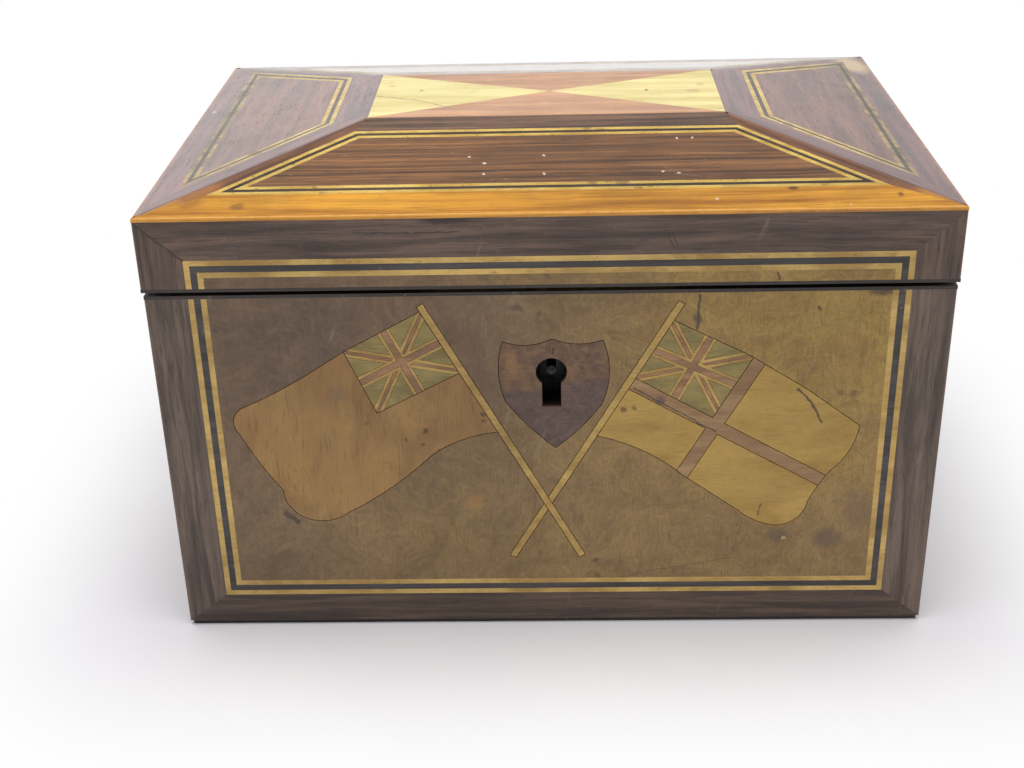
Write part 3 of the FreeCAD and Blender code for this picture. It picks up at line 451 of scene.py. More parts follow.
class Face(Enum):
    """The face that a mark lies on: the shares of X, Y and Z that count there."""

    FRONT = (1.0, 0.0, 1.0)
    TOP = (1.0, 1.0, 0.0)


@dataclass
class Surface:
    """The sockets that vary over one surface."""

    colour: Socket
    roughness: Socket
    height: Socket


@dataclass(frozen=True)
class Mark:
    """A crack, a stain or a patch of painted shadow on one face, in that face's two coordinates and in
    millimetres.
    """

    start: Pair
    end: Pair | None = None
    size: float = 0.35
    colour: Colour = tint(40, 28, 22)
    strength: float = 0.85
    squash: Pair = (1.0, 1.0)
    face: Face = Face.FRONT

    def spot(self, pair: Pair, scale: float) -> Vector:
        """Return two coordinates as a vector across the face."""
        first, second = pair[0] * scale, pair[1] * scale
        return Vector((first, 0, second)) if self.face is Face.FRONT else Vector((first, second, 0))

    def paint(self, graph: Graph, coords: Socket, colour: Socket) -> Socket:
        """Lay the mark over a colour.

        Args:
            graph: the material's graph.
            coords: object coordinates.
            colour: the colour so far.

        Returns:
            The marked colour.
        """
        start = self.spot(self.start, MM)
        inputs = {"Vector": coords}
        if self.end is None:
            face = self.spot(self.squash, 1.0)
            inputs |= {"Centre": start, "Radius": self.size * MM, "Face": face}
            mask = shop.place(graph, Effect.SPOT, inputs)["Patch"]
        else:
            end = self.spot(self.end, MM)
            inputs |= {"Start": start, "End": end, "Width": self.size * MM, "Face": self.face.value}
            mask = shop.place(graph, Effect.HAIRLINE, inputs)["Line"]
        return graph.cover(mask, self.strength, colour, self.colour)


def top_mark(start: Pair, end: Pair | None = None, **settings: object) -> Mark:
    """Return a mark on the lid's crown, placed as seen from above."""
    return Mark(start, end, face=Face.TOP, **settings)


MADE: dict[str, bpy.types.Material] = {}
CASE_ARRIS = (101.1, 69.1, 0.0)
LID_ARRIS = (101.5, 69.5, 120.9)
LID_FRONT_ARRIS = (101.5, 69.5, 101.2)
SCRATCH = tint(205, 185, 160)
SPECK = tint(240, 232, 215)


@dataclass(frozen=True)
class Finish:
    """A material that varies over its surface; each kind paints its own sockets."""

    name: str
    metallic: float = 0.0
    coat: float = 0.0
    coat_roughness: float = 0.22
    specular: float = 0.5
    bump: float = 0.008
    sheen: float = 0.0

    def paint(self, graph: Graph) -> Surface:
        """Return the sockets of this kind of finish."""
        raise NotImplementedError

    def material(self) -> bpy.types.Material:
        """Make the material of this finish, the first time only.

        Returns:
            The material.
        """
        if self.name in MADE:
            return MADE[self.name]
        made = bpy.data.materials.new(self.name)
        made.use_nodes = True
        made.node_tree.nodes.clear()
        graph = Graph(made.node_tree)
        surface = self.paint(graph)
        relief = graph.add("Bump", {"Height": surface.height, "Distance": self.bump * MM, "Strength": 1.0})
        shader = graph.add(
            "BsdfPrincipled",
            {
                "Base Color": surface.colour,
                "Roughness": surface.roughness,
                "Normal": relief.outputs[0],
                "Metallic": self.metallic,
                "Specular IOR Level": self.specular,
                "Coat Weight": self.coat,
                "Coat Roughness": self.coat_roughness,
                "Sheen Weight": self.sheen,
            },
        )
        graph.add("OutputMaterial", {"Surface": shader.outputs[0]})
        MADE[self.name] = made
        return made


@dataclass(frozen=True)
class Wood(Finish):
    """A polished wood with streaks, fibres, pores, fading, scratches and worn arrises."""

    dark: Colour = tint(60, 40, 30)
    light: Colour = tint(110, 80, 60)
    pore: Colour = tint(25, 18, 15)
    grain: Grain = Grain.ALONG_X
    streaks: float = 320.0
    length: float = 18.0
    waver: float = 0.002
    fibre: float = 0.3
    pores: float = 0.4
    fade: float = 0.25
    grime: float = 0.2
    scratches: float = 0.3
    specks: float = 0.0
    polish: Pair = (0.3, 0.46)
    pore_depth: float = 1.6
    pore_roughness: float = 0.12
    scratch_depth: float = 0.8
    scratch_roughness: float = 0.1
    scratch_share: float = 0.4
    worn: Colour | None = None
    worn_share: float = 0.9
    arris: Place = CASE_ARRIS
    reach: float = 2.0
    marks: tuple[Mark, ...] = ()

    def pattern(self, graph: Graph, coords: Socket) -> Socket:
        """Return the coordinates whose X runs along the fibres."""
        if self.grain is Grain.LAID:
            return graph.add("TexCoord").outputs["UV"]
        return graph.add("Mapping", {"Vector": coords, "Rotation": self.grain.turn()}).outputs[0]

    def ground(self, graph: Graph, coords: Socket, streak: Socket) -> Socket:
        """Return the wood's colour before fibres and wear."""
        return graph.blend(streak, self.dark, self.light)

    def wear(self, graph: Graph, coords: Socket, colour: Socket) -> Socket:
        """Lay the worn arrises over a colour.

        Args:
            graph: the material's graph.
            coords: object coordinates.
            colour: the colour so far.

        Returns:
            The worn colour.
        """
        if not self.worn:
            return colour
        names = ("Half Width", "Half Depth", "Level", "Reach")
        sizes = {name: size * MM for name, size in zip(names, (*self.arris, self.reach))}
        worn = shop.place(graph, Effect.ARRIS, {"Vector": coords, **sizes})["Worn"]
        return graph.cover(worn, self.worn_share, colour, self.worn)

    def paint(self, graph: Graph) -> Surface:
        """Lay fibres, fading, pores, wear, grime, scratches and marks over the wood's colour.

        Args:
            graph: the material's graph.

        Returns:
            The sockets of a polished wood.
        """
        coords = graph.coords()
        inputs = {
            "Vector": self.pattern(graph, coords),
            "Streaks": self.streaks,
            "Length": self.length,
            "Waver": self.waver,
        }
        grain = shop.place(graph, Effect.GRAIN, inputs)
        patina = shop.place(graph, Effect.PATINA, {"Vector": coords})
        rubbing = shop.place(graph, Effect.RUBBING, {"Vector": coords})
        scratches = rubbing["Scratches"]
        colour = self.ground(graph, coords, grain["Streak"])
        shaded = graph.span(grain["Fibre"], 0.0, 1.0, 1.0 - self.fibre / 2, 1.0 + self.fibre / 2)
        fading = graph.span(patina["Fade"], 0.0, 1.0, 1.0 - self.fade / 2, 1.0 + self.fade / 2)
        shade = graph.times(shaded, fading)
        grey = graph.add("CombineColor", {0: shade, 1: shade, 2: shade}).outputs[0]
        colour = graph.blend(1.0, colour, grey, "MULTIPLY")
        colour = graph.cover(grain["Pores"], self.pores, colour, self.pore)
        colour = self.wear(graph, coords, colour)
        colour = graph.cover(patina["Grime"], self.grime, colour, self.pore)
        colour = graph.cover(scratches, self.scratches * self.scratch_share, colour, SCRATCH)
        if self.specks:
            colour = graph.cover(rubbing["Specks"], self.specks, colour, SPECK)
        for mark in self.marks:
            colour = mark.paint(graph, coords, colour)
        rough = graph.span(rubbing["Polish"], 0.3, 0.7, *self.polish)
        rough = graph.calc("ADD", rough, graph.times(grain["Pores"], self.pore_roughness))
        rough = graph.calc("ADD", rough, graph.times(scratches, self.scratch_roughness), clamp=True)
        height = graph.calc("SUBTRACT", grain["Fibre"], graph.times(grain["Pores"], self.pore_depth))
        height = graph.calc("SUBTRACT", height, graph.times(scratches, self.scratch_depth))
        return Surface(colour, rough, height)


@dataclass(frozen=True)
class Burr(Wood):
    """A burr veneer that goes from a cool brown to gold.

    A course says, for the top or for the foot, from where to where along X and between which shares
    the gold comes in; the levels are the heights between which one course gives way to the other.
    """

    gold_dark: Colour = tint(150, 117, 52)
    gold_light: Colour = tint(188, 154, 74)
    top_course: Four = (-50.0, 85.0, 0.0, 1.0)
    foot_course: Four = (-85.0, -20.0, 0.15, 0.47)
    levels: Pair = (25.0, 78.0)
    eyes: float = 0.7
    flecks: float = 0.34

    def ground(self, graph: Graph, coords: Socket, streak: Socket) -> Socket:
        """Lay the burr's clouds, swirls, eyes and flecks over its two tones.

        Args:
            graph: the material's graph.
            coords: object coordinates.
            streak: the streaks of plain wood, which a burr has not.

        Returns:
            The burr's colour.
        """
        figure = shop.place(graph, Effect.BURR, {"Vector": coords})
        x, _, z = graph.parts(graph.wobble(coords, scale=28.0, reach=0.02))
        sides = []
        for low, high, start, end in (self.foot_course, self.top_course):
            sides.append(graph.span(x, low * MM, high * MM, start, end))
        height = graph.span(z, self.levels[0] * MM, self.levels[1] * MM)
        rise = graph.times(height, graph.calc("SUBTRACT", sides[1], sides[0]))
        gold = graph.calc("ADD", sides[0], rise, clamp=True)
        tone = graph.shares(figure["Cloud"], 0.55, figure["Swirl"], 0.45)
        cool = graph.blend(tone, self.dark, self.light)
        warm = graph.blend(tone, self.gold_dark, self.gold_light)
        colour = graph.cover(figure["Eyes"], self.eyes, graph.blend(gold, cool, warm), self.pore)
        return graph.cover(graph.calc("SUBTRACT", 1.0, figure["Fleck"]), self.flecks, colour, self.dark)


@dataclass(frozen=True)
class ShieldBurr(Wood):
    """The mottled shield: orange-brown in its upper part, purple-brown below a join with a step in it."""

    low_dark: Colour = tint(74, 55, 50)
    low_light: Colour = tint(106, 81, 71)
    middle: float = 1.3
    step: float = 1.5
    left_join: float = 72.4
    left_blur: float = 0.5
    right_join: float = 75.5
    right_blur: float = 2.5
    eyes: float = 0.5

    def ground(self, graph: Graph, coords: Socket, streak: Socket) -> Socket:
        """Lay the shield's mottling and eyes over its two tones.

        Args:
            graph: the material's graph.
            coords: object coordinates.
            streak: the streaks of plain wood, which a burr has not.

        Returns:
            The shield's colour.
        """
        figure = shop.place(graph, Effect.BURR, {"Vector": coords, "Swirl": 130.0, "Eye Size": 0.6})
        mottle = graph.span(graph.noise(coords, scale=330.0, detail=4.0, rough=0.6, bend=1.2), 0.34, 0.66)
        x, _, _ = graph.parts(coords)
        _, _, z = graph.parts(graph.wobble(coords, scale=220.0, reach=0.001))
        _, _, loose = graph.parts(graph.wobble(coords, scale=160.0, reach=0.005))
        left = self.join(graph, z, self.left_join, self.left_blur)
        right = self.join(graph, loose, self.right_join, self.right_blur)
        side = self.join(graph, x, self.middle, self.step)
        rise = graph.times(side, graph.calc("SUBTRACT", right, left))
        upper = graph.calc("ADD", left, rise, clamp=True)
        tone = graph.shares(mottle, 0.6, figure["Swirl"], 0.4)
        high = graph.blend(tone, self.dark, self.light)
        low = graph.blend(tone, self.low_dark, self.low_light)
        return graph.cover(figure["Eyes"], self.eyes, graph.blend(upper, low, high), self.pore)

    @staticmethod
    def join(graph: Graph, value: Socket, place: float, blur: float) -> Socket:
        """Return 0 below a place and 1 above it, blurred by so many millimetres to each side."""
        return graph.span(value, (place - blur) * MM, (place + blur) * MM)


@dataclass(frozen=True)
class SlopeLine(Wood):
    """Boxwood lines of the lid's slopes, dull near the ends of the lid and dirty in places."""

    dirty_from: float = 80.0
    dirty_to: float = 93.0
    eave_from: float = 56.0
    eave_to: float = 60.0
    dull: Colour = tint(166, 138, 100)
    dull_share: float = 0.65
    dirt_share: float = 0.7
    stray_share: float = 0.7

    def ground(self, graph: Graph, coords: Socket, streak: Socket) -> Socket:
        """Lay dullness and dirt over the line's colour.

        Args:
            graph: the material's graph.
            coords: object coordinates.
            streak: the streaks of plain wood.

        Returns:
            The line's colour.
        """
        clean = graph.blend(streak, self.dark, self.light)
        x, y, _ = graph.parts(coords)
        out = graph.span(graph.calc("ABSOLUTE", x), self.dirty_from * MM, self.dirty_to * MM)
        inside = graph.span(graph.calc("ABSOLUTE", y), self.eave_from * MM, self.eave_to * MM, 1.0, 0.0)
        end = graph.times(out, inside)
        clean = graph.cover(end, self.dull_share, clean, self.dull)
        patch = graph.span(graph.noise(coords, scale=110.0, detail=4.0, rough=0.6), 0.38, 0.6)
        some = graph.span(graph.noise(coords, scale=150.0, detail=3.0, rough=0.6), 0.6, 0.68)
        dirt = graph.calc("MAXIMUM", graph.times(patch, end), graph.times(some, self.stray_share))
        return graph.cover(dirt, self.dirt_share, clean, self.pore)


@dataclass(frozen=True)
class Metal(Finish):
    """An old metal with tarnish, brushing and pits."""

    metallic: float = 1.0
    bump: float = 0.02
    clean: Colour = tint(205, 170, 100)
    dull: Colour = tint(120, 90, 50)
    pit: Colour = tint(40, 30, 22)
    pit_share: float = 0.6
    pit_roughness: float = 0.2
    polish: Pair = (0.26, 0.5)

    def paint(self, graph: Graph) -> Surface:
        """Lay tarnish and pits over the clean metal.

        Args:
            graph: the material's graph.

        Returns:
            The sockets of an old metal.
        """
        age = shop.place(graph, Effect.TARNISH, {"Vector": graph.coords()})
        colour = graph.blend(age["Blotch"], self.clean, self.dull)
        colour = graph.cover(age["Pits"], self.pit_share, colour, self.pit)
        rough = graph.span(age["Blotch"], 0.0, 1.0, *self.polish)
        rough = graph.calc("ADD", rough, graph.times(age["Pits"], self.pit_roughness), clamp=True)
        return Surface(colour, rough, graph.calc("SUBTRACT", age["Brushing"], age["Pits"]))


@dataclass(frozen=True)
class Foil(Finish):
    """Grey foil pressed onto thin wood, creased and dull, with painted shade along its creases."""

    metallic: float = 0.85
    bump: float = 0.25
    clean: Colour = tint(176, 174, 168)
    dull: Colour = tint(112, 110, 106)
    # Painted shade: the dark colour laid along the creases.
    fold: Colour = tint(70, 68, 64)
    crease_shade_share: float = 0.35
    pit_depth: float = 0.2
    polish: Pair = (0.34, 0.6)

    def paint(self, graph: Graph) -> Surface:
        """Lay tarnish, creases and painted shade along the creases over the foil.

        Args:
            graph: the material's graph.

        Returns:
            The sockets of creased foil.
        """
        coords = graph.coords()
        age = shop.place(graph, Effect.TARNISH, {"Vector": coords})
        inputs = {"Vector": graph.wobble(coords, scale=90.0, reach=0.004), "Scale": 95.0}
        folds = graph.add("TexVoronoi", inputs, feature="DISTANCE_TO_EDGE").outputs["Distance"]
        smooth = graph.span(folds, 0.0, 0.12)
        colour = graph.blend(age["Blotch"], self.clean, self.dull)
        # Painted shade: the foil is darkened along its creases.
        colour = graph.cover(graph.calc("SUBTRACT", 1.0, smooth), self.crease_shade_share, colour, self.fold)
        rough = graph.span(age["Blotch"], 0.0, 1.0, *self.polish)
        return Surface(colour, rough, graph.calc("ADD", smooth, graph.times(age["Pits"], -self.pit_depth)))


@dataclass(frozen=True)
class Velvet(Finish):
    """Cotton velvet with a short nap, brushed in patches."""

    sheen: float = 0.5
    specular: float = 0.15
    bump: float = 0.2
    dark: Colour = tint(92, 20, 26)
    light: Colour = tint(134, 36, 40)
    deep: Colour = tint(52, 10, 15)
    deep_share: float = 0.5
    faded: Colour = tint(140, 70, 60)
    faded_share: float = 0.25
    polish: Pair = (0.75, 0.98)

    def paint(self, graph: Graph) -> Surface:
        """Lay brushed patches, nap and fading over each other.

        Args:
            graph: the material's graph.

        Returns:
            The sockets of a worn velvet.
        """
        coords = graph.coords()
        combed = graph.vector("MULTIPLY", coords, (1.0, 0.6, 1.0))
        nap = graph.noise(combed, scale=2600.0, detail=3.0, rough=0.7)
        brushed = graph.span(graph.noise(coords, scale=70.0, detail=4.0, rough=0.6, bend=0.8), 0.35, 0.65)
        patina = shop.place(graph, Effect.PATINA, {"Vector": coords})
        colour = graph.blend(brushed, self.dark, self.light)
        colour = graph.cover(nap, self.deep_share, colour, self.deep)
        colour = graph.cover(patina["Fade"], self.faded_share, colour, self.faded)
        return Surface(colour, graph.span(nap, 0.2, 0.8, *self.polish), nap)


@dataclass(frozen=True)
class Paper(Finish):
    """The pale floor sheet under the box."""

    specular: float = 0.2
    bump: float = 0.05
    low: Colour = tint(243, 240, 245)
    high: Colour = tint(249, 247, 250)
    polish: Pair = (0.7, 0.9)
    foot: Pair = (0.1011, 0.0691)
    shadow: float = 0.075

    def paint(self, graph: Graph) -> Surface:
        """Lay a faint cloudiness and fine fibres over a plain pale sheet.

        Args:
            graph: the material's graph.

        Returns:
            The sockets of the sheet.
        """
        coords = graph.coords()
        fibre = graph.noise(coords, scale=900.0, detail=3.0, rough=0.6)
        cloud = graph.span(graph.noise(coords, scale=9.0, detail=3.0, rough=0.6), 0.3, 0.7)
        colour = graph.blend(cloud, self.low, self.high)
        return Surface(colour, graph.span(fibre, 0.2, 0.8, *self.polish), fibre)

    def material(self) -> bpy.types.Material:
        """Make the sheet's material, which turns to plain white away from the box's shadow.

        Returns:
            The material.
        """
        if self.name in MADE:
            return MADE[self.name]
        made = super().material()
        graph = Graph(made.node_tree)
        leave = next(node for node in made.node_tree.nodes if node.type == "OUTPUT_MATERIAL")
        lit = leave.inputs["Surface"].links[0].from_socket
        path = graph.add("LightPath").outputs
        seen = graph.calc("MAXIMUM", path["Is Camera Ray"], graph.mirrored(path))
        spread = graph.vector("ABSOLUTE", graph.coords())
        beyond = graph.vector("SUBTRACT", spread, (*self.foot, 0.0))
        away = graph.measure("LENGTH", graph.vector("MAXIMUM", beyond, (0.0, 0.0, 0.0)))
        share = graph.times(seen, graph.span(away, 0.0, self.shadow))
        white = graph.add("Emission", {"Color": WHITE, "Strength": 1.0})
        mixed = graph.add("MixShader", {0: share, 1: lit, 2: white.outputs[0]})
        made.node_tree.links.new(mixed.outputs[0], leave.inputs["Surface"])
        return made


DIRT = tint(58, 46, 38)
GOLD = tint(206, 142, 58)
LINT = tint(250, 245, 235)
LINT_SPOTS = (
    (-0.5, -42.4),
    (-15.8, -45.8),
    (-19.8, -42.5),
    (34.0, -34.6),
    (38.0, -34.7),
    (29.3, -51.1),
    (33.5, -51.9),
    (-0.5, -51.3),
    (-15.7, -50.9),
)
LAID_BAND = {"grain": Grain.LAID, "streaks": 420.0}
CROWN = {"polish": (0.14, 0.25), "bump": 0.003, "specular": 0.6}


class Stock(Enum):
    """Every finish of the box."""

    SIDE_BAND = Wood(
        "rosewood_side_bands",
        **tones((69, 55, 46), (111, 94, 81), (40, 31, 28)),
        **LAID_BAND,
        worn=tint(112, 92, 78),
        reach=1.0,
    )
    FOOT_BAND = Wood(
        "rosewood_foot_band",
        **tones((58, 44, 36), (98, 78, 62), (32, 24, 20)),
        **LAID_BAND,
        worn=tint(84, 66, 52),
        reach=0.8,
    )
    LID_BAND = Wood(
        "rosewood_lid_band",
        **tones((63, 48, 40), (108, 86, 73), (36, 27, 24)),
        **LAID_BAND,
        worn=tint(100, 80, 65),
        arris=LID_FRONT_ARRIS,
        reach=1.0,
        marks=(
            Mark((-101.3, 119.7), (-90.0, 109.7), size=0.4, strength=0.8),
            Mark((-47.2, 116.5), (-21.2, 116.1), strength=0.7),
            Mark((29.4, 115.1), (30.9, 111.4), size=0.3, strength=0.6),
            Mark((30.5, 115.3), (31.9, 111.7), size=0.3, strength=0.6),
            # Painted shadow: three dark streaks along the band's top edge, just below the eave.
            Mark((-25.0, 119.4), size=3.2, colour=tint(34, 23, 18), squash=(0.4, 2.2)),
            Mark((-80.0, 119.6), size=2.4, colour=tint(44, 28, 20), squash=(0.3, 2.0), strength=0.6),
            Mark((40.0, 119.6), size=2.4, colour=tint(52, 34, 22), squash=(0.15, 2.0), strength=0.6),
        ),
    )
    DARK_SLOPE_BAND = Wood(
        "rosewood_slope_band",
        **tones((78, 45, 42), (136, 85, 80), (30, 19, 16)),
        grain=Grain.LAID,
        streaks=380.0,
        coat=0.5,
        worn=tint(176, 108, 56),
        arris=LID_ARRIS,
        marks=(
            top_mark((95.7, 55.6), size=9.0, squash=(1.4, 0.8), colour=tint(214, 178, 128), strength=0.95),
            top_mark((-98.1, 17.8), size=0.8, colour=tint(230, 220, 205)),
        ),
        **CROWN,
    )
    TOP_BAND = Wood(
        "rosewood_top_band",
        **tones((66, 43, 31), (132, 95, 69), (28, 18, 15)),
        **LAID_BAND,
        length=26.0,
        coat=0.5,
        fibre=0.4,
        **CROWN,
    )
    GOLDEN_SLOPE_BAND = Wood(
        "rosewood_worn_golden",
        **tones((169, 106, 22), (227, 161, 45), (96, 56, 22)),
        grain=Grain.LAID,
        streaks=300.0,
        length=26.0,
        pores=0.25,
        specks=0.5,
        worn=tint(233, 165, 61),
        arris=LID_ARRIS,
        reach=0.9,
        marks=(
            top_mark((60.9, -60.0), size=1.1, colour=tint(70, 42, 20), squash=(0.7, 1.0)),
            top_mark((86.3, -63.4), size=1.1, colour=tint(96, 52, 28), strength=0.7),
            top_mark((41.5, -64.7), size=0.6, colour=tint(246, 232, 205)),
            top_mark((-76.1, -64.8), size=2.2, colour=tint(120, 74, 34), strength=0.6),
            top_mark((-88.0, -62.0), size=4.0, colour=tint(128, 78, 36), strength=0.5),
        ),
        **CROWN,
    )
    HIP_BAND = Wood(
        "rosewood_worn_hip",
        **tones((88, 56, 38), (146, 98, 66), (50, 30, 20)),
        grain=Grain.LAID,
        streaks=360.0,
        worn=tint(214, 146, 66),
        arris=LID_ARRIS,
        reach=2.6,
        marks=(
            top_mark((-95.0, -64.5), size=8.0, colour=GOLD, strength=0.8),
            top_mark((-86.5, -57.0), size=7.0, colour=tint(190, 126, 60), strength=0.55),
            top_mark((95.0, -64.5), size=7.0, colour=GOLD, strength=0.7),
        ),
        **CROWN,
    )
    FRONT_SLOPE_PANEL = Wood(
        "rosewood_front_slope",
        **tones((82, 50, 27), (150, 101, 56), (36, 22, 15)),
        grain=Grain.LAID,
        streaks=620.0,
        length=60.0,
        fibre=0.6,
        pores=0.5,
        specks=1.0,
        coat=0.25,
        scratches=0.5,
        marks=tuple(top_mark(spot, size=0.5, colour=LINT) for spot in LINT_SPOTS),
        **CROWN,
    )
    BACK_SLOPE_PANEL = replace(
        FRONT_SLOPE_PANEL, name="rosewood_back_slope", coat=1.0, polish=(0.08, 0.16), marks=()
    )
    SIDE_SLOPE_PANEL = Wood(
        "rosewood_side_slope",
        **tones((97, 57, 47), (147, 95, 78), (40, 27, 24)),
        grain=Grain.LAID,
        streaks=200.0,
        length=12.0,
        waver=0.003,
        coat=0.4,
        specks=0.4,
        **CROWN,
    )
    SIDE_VENEER = Wood(
        "rosewood_side_sheet",
        **tones((70, 54, 47), (114, 94, 84), (38, 29, 26)),
        grain=Grain.ALONG_Y,
        streaks=420.0,
        worn=tint(150, 108, 66),
        reach=1.0,
    )
    BACK_VENEER = replace(SIDE_VENEER, name="rosewood_back_sheet", grain=Grain.ALONG_X)
    LID_SIDE_VENEER = replace(SIDE_VENEER, name="rosewood_lid_side", arris=LID_ARRIS, reach=0.8)
    LID_BACK_VENEER = replace(LID_SIDE_VENEER, name="rosewood_lid_back", grain=Grain.ALONG_X)
    BURR_PANEL = Burr(
        "burr_front_panel",
        **tones((93, 72, 54), (127, 102, 78), (74, 56, 44)),
        grain=Grain.UPRIGHT,
        streaks=120.0,
        length=4.0,
        fibre=0.12,
        pores=0.2,
        fade=0.16,
        grime=0.25,
        marks=(
            Mark((-71.6, 36.4), (-67.2, 33.2), size=1.3, colour=DIRT, strength=0.75),
            Mark((-20.2, 39.1), size=3.2, colour=tint(178, 132, 66), strength=0.4),
            Mark((-84.2, 90.4), size=1.0, colour=DIRT, strength=0.6),
            Mark((37.8, 98.8), (37.4, 89.0), size=0.55, colour=DIRT, strength=0.8),
            Mark((37.5, 92.0), size=1.5, colour=DIRT, strength=0.7, squash=(1.0, 0.55)),
            Mark((67.6, 94.5), size=0.9, colour=DIRT, strength=0.7),
            Mark((77.9, 70.4), size=1.6, colour=tint(104, 80, 44), strength=0.6),
            Mark((74.4, 70.8), size=1.3, colour=tint(104, 80, 44), strength=0.5),
            Mark((61.0, 28.0), size=3.4, colour=tint(92, 78, 58), strength=0.6, squash=(0.8, 1.1)),
            Mark((62.5, 27.0), size=0.7, colour=tint(214, 190, 130), strength=0.6),
            Mark((73.8, 27.0), size=4.6, colour=tint(94, 72, 62), strength=0.65),
            Mark((82.0, 36.0), size=7.0, colour=tint(110, 84, 66), strength=0.45, squash=(1.3, 0.8)),
            Mark((82.5, 62.0), size=4.0, colour=tint(120, 96, 60), strength=0.3),
            Mark((82.8, 98.9), size=3.4, colour=tint(54, 40, 30), strength=0.75, squash=(0.7, 2.0)),
            Mark((18.0, 14.9), (48.0, 21.0), size=0.3, colour=tint(92, 66, 46), strength=0.5),
        ),
    )
    LID_BURR = Burr(
        "burr_lid_strip",
        **tones((94, 73, 53), (129, 102, 77), (74, 54, 40)),
        gold_dark=tint(143, 113, 52),
        gold_light=tint(185, 151, 79),
        top_course=(-60.0, 60.0, 0.0, 1.0),
        foot_course=(-60.0, 60.0, 0.0, 1.0),
        fibre=0.16,
        pores=0.2,
        fade=0.16,
        marks=(Mark((56.8, 104.6), (57.2, 102.4), size=0.5, colour=tint(84, 44, 30)),),
    )
    BOXWOOD = Wood(
        "boxwood_lines",
        **tones((168, 132, 66), (210, 176, 100), (100, 72, 38)),
        streaks=120.0,
        length=2.0,
        fibre=0.16,
        pores=0.14,
        fade=0.22,
        grime=0.55,
        scratches=0.1,
    )
    BAR_BOXWOOD = replace(
        BOXWOOD,
        name="boxwood_bars",
        **tones((158, 124, 60), (194, 160, 88), (94, 68, 36)),
        streaks=160.0,
        fade=0.2,
        grime=0.4,
    )
    SLOPE_BOXWOOD = SlopeLine(
        "boxwood_slope_lines",
        **tones((196, 156, 66), (232, 198, 106), (64, 47, 32)),
        streaks=200.0,
        length=3.0,
        fibre=0.2,
        pores=0.2,
        fade=0.2,
        grime=0.6,
        scratches=0.1,
        **CROWN,
    )
    EBONY = Wood(
        "ebony_lines", **tones((44, 40, 39), (72, 67, 64), (26, 23, 22)), pores=0.3, scratches=0.4
    )
    SLOPE_EBONY = replace(
        EBONY, name="ebony_slope_lines", **tones((50, 38, 28), (86, 66, 48), (30, 22, 17)), **CROWN
    )
    DARK_EDGE = replace(EBONY, name="dark_lipping", **tones((32, 26, 22), (58, 47, 40), (18, 14, 12)))
    GREEN = Wood(
        "green_stained_ground",
        **tones((124, 108, 60), (150, 132, 74), (84, 76, 44)),
        streaks=300.0,
        length=3.0,
        fibre=0.16,
        pores=0.2,
        fade=0.2,
        grime=0.3,
    )
    RED = Wood(
        "red_stained_bars",
        **tones((128, 92, 62), (162, 122, 84), (84, 54, 38)),
        streaks=300.0,
        length=4.0,
        fibre=0.2,
        pores=0.22,
        grime=0.35,
    )
    LEFT_FIELD = Wood(
        "left_flag_veneer",
        **tones((137, 100, 52), (160, 123, 68), (96, 64, 36)),
        grain=Grain.UPRIGHT,
        streaks=90.0,
        length=2.2,
        fibre=0.1,
        pores=0.3,
        fade=0.14,
        grime=0.6,
        marks=(
            Mark((-32.4, 61.1), size=0.9, colour=tint(74, 50, 30)),
            Mark((-17.3, 65.6), size=0.8, colour=tint(74, 50, 30)),
            Mark((-17.0, 63.8), size=0.6, colour=tint(74, 50, 30)),
            Mark((-37.4, 58.2), size=0.6, colour=tint(84, 58, 34)),
            Mark((-33.2, 57.1), size=0.6, colour=tint(84, 58, 34)),
            Mark((-47.5, 63.4), size=0.7, colour=tint(104, 72, 42), strength=0.7),
            Mark((-54.6, 71.8), size=3.0, colour=tint(112, 92, 74), strength=0.45),
            Mark((-28.7, 54.8), size=0.9, colour=tint(52, 36, 26)),
        ),
    )
    RIGHT_FIELD = Wood(
        "right_flag_veneer",
        **tones((159, 125, 53), (182, 148, 72), (126, 94, 46)),
        streaks=90.0,
        length=2.2,
        fibre=0.1,
        pores=0.22,
        fade=0.14,
        grime=0.4,
        marks=(
            Mark((63.2, 72.0), (67.4, 68.1), size=0.5, colour=DIRT),
            Mark((67.3, 68.3), (70.6, 62.2), size=0.5, colour=DIRT),
            Mark((55.9, 37.8), (55.2, 34.2), size=0.4, colour=tint(96, 72, 38)),
            Mark((19.2, 66.7), size=1.3, colour=tint(80, 58, 36), strength=0.75),
            Mark((22.0, 67.0), size=0.8, colour=tint(96, 70, 40), strength=0.7),
        ),
    )
    CROSS = Wood(
        "cross_veneer",
        **tones((136, 101, 66), (164, 130, 88), (96, 66, 42)),
        streaks=260.0,
        length=5.0,
        fibre=0.14,
        pores=0.2,
        fade=0.16,
        grime=0.3,
        marks=(
            Mark((28.5, 69.0), size=1.6, colour=tint(86, 74, 66), strength=0.7),
            Mark((21.8, 72.8), (32.7, 66.1), size=0.4, colour=DIRT, strength=0.75),
            Mark((32.7, 66.1), (43.2, 59.8), size=0.4, colour=DIRT, strength=0.75),
            Mark((51.5, 54.3), (70.6, 43.0), size=0.4, colour=DIRT, strength=0.75),
        ),
    )
    SHIELD = ShieldBurr(
        "shield_veneer",
        **tones((85, 61, 47), (130, 96, 64), (66, 48, 42)),
        fibre=0.12,
        pores=0.25,
        grime=0.3,
        fade=0.12,
        marks=(
            Mark((1.0, 82.6), (1.4, 84.6), size=0.4, colour=tint(48, 36, 32)),
            Mark((12.0, 78.5), size=1.5, colour=tint(82, 62, 52), strength=0.6, squash=(1.3, 0.7)),
            Mark((-9.6, 80.0), size=3.4, colour=tint(176, 132, 74), strength=0.3, squash=(1.6, 0.7)),
        ),
    )
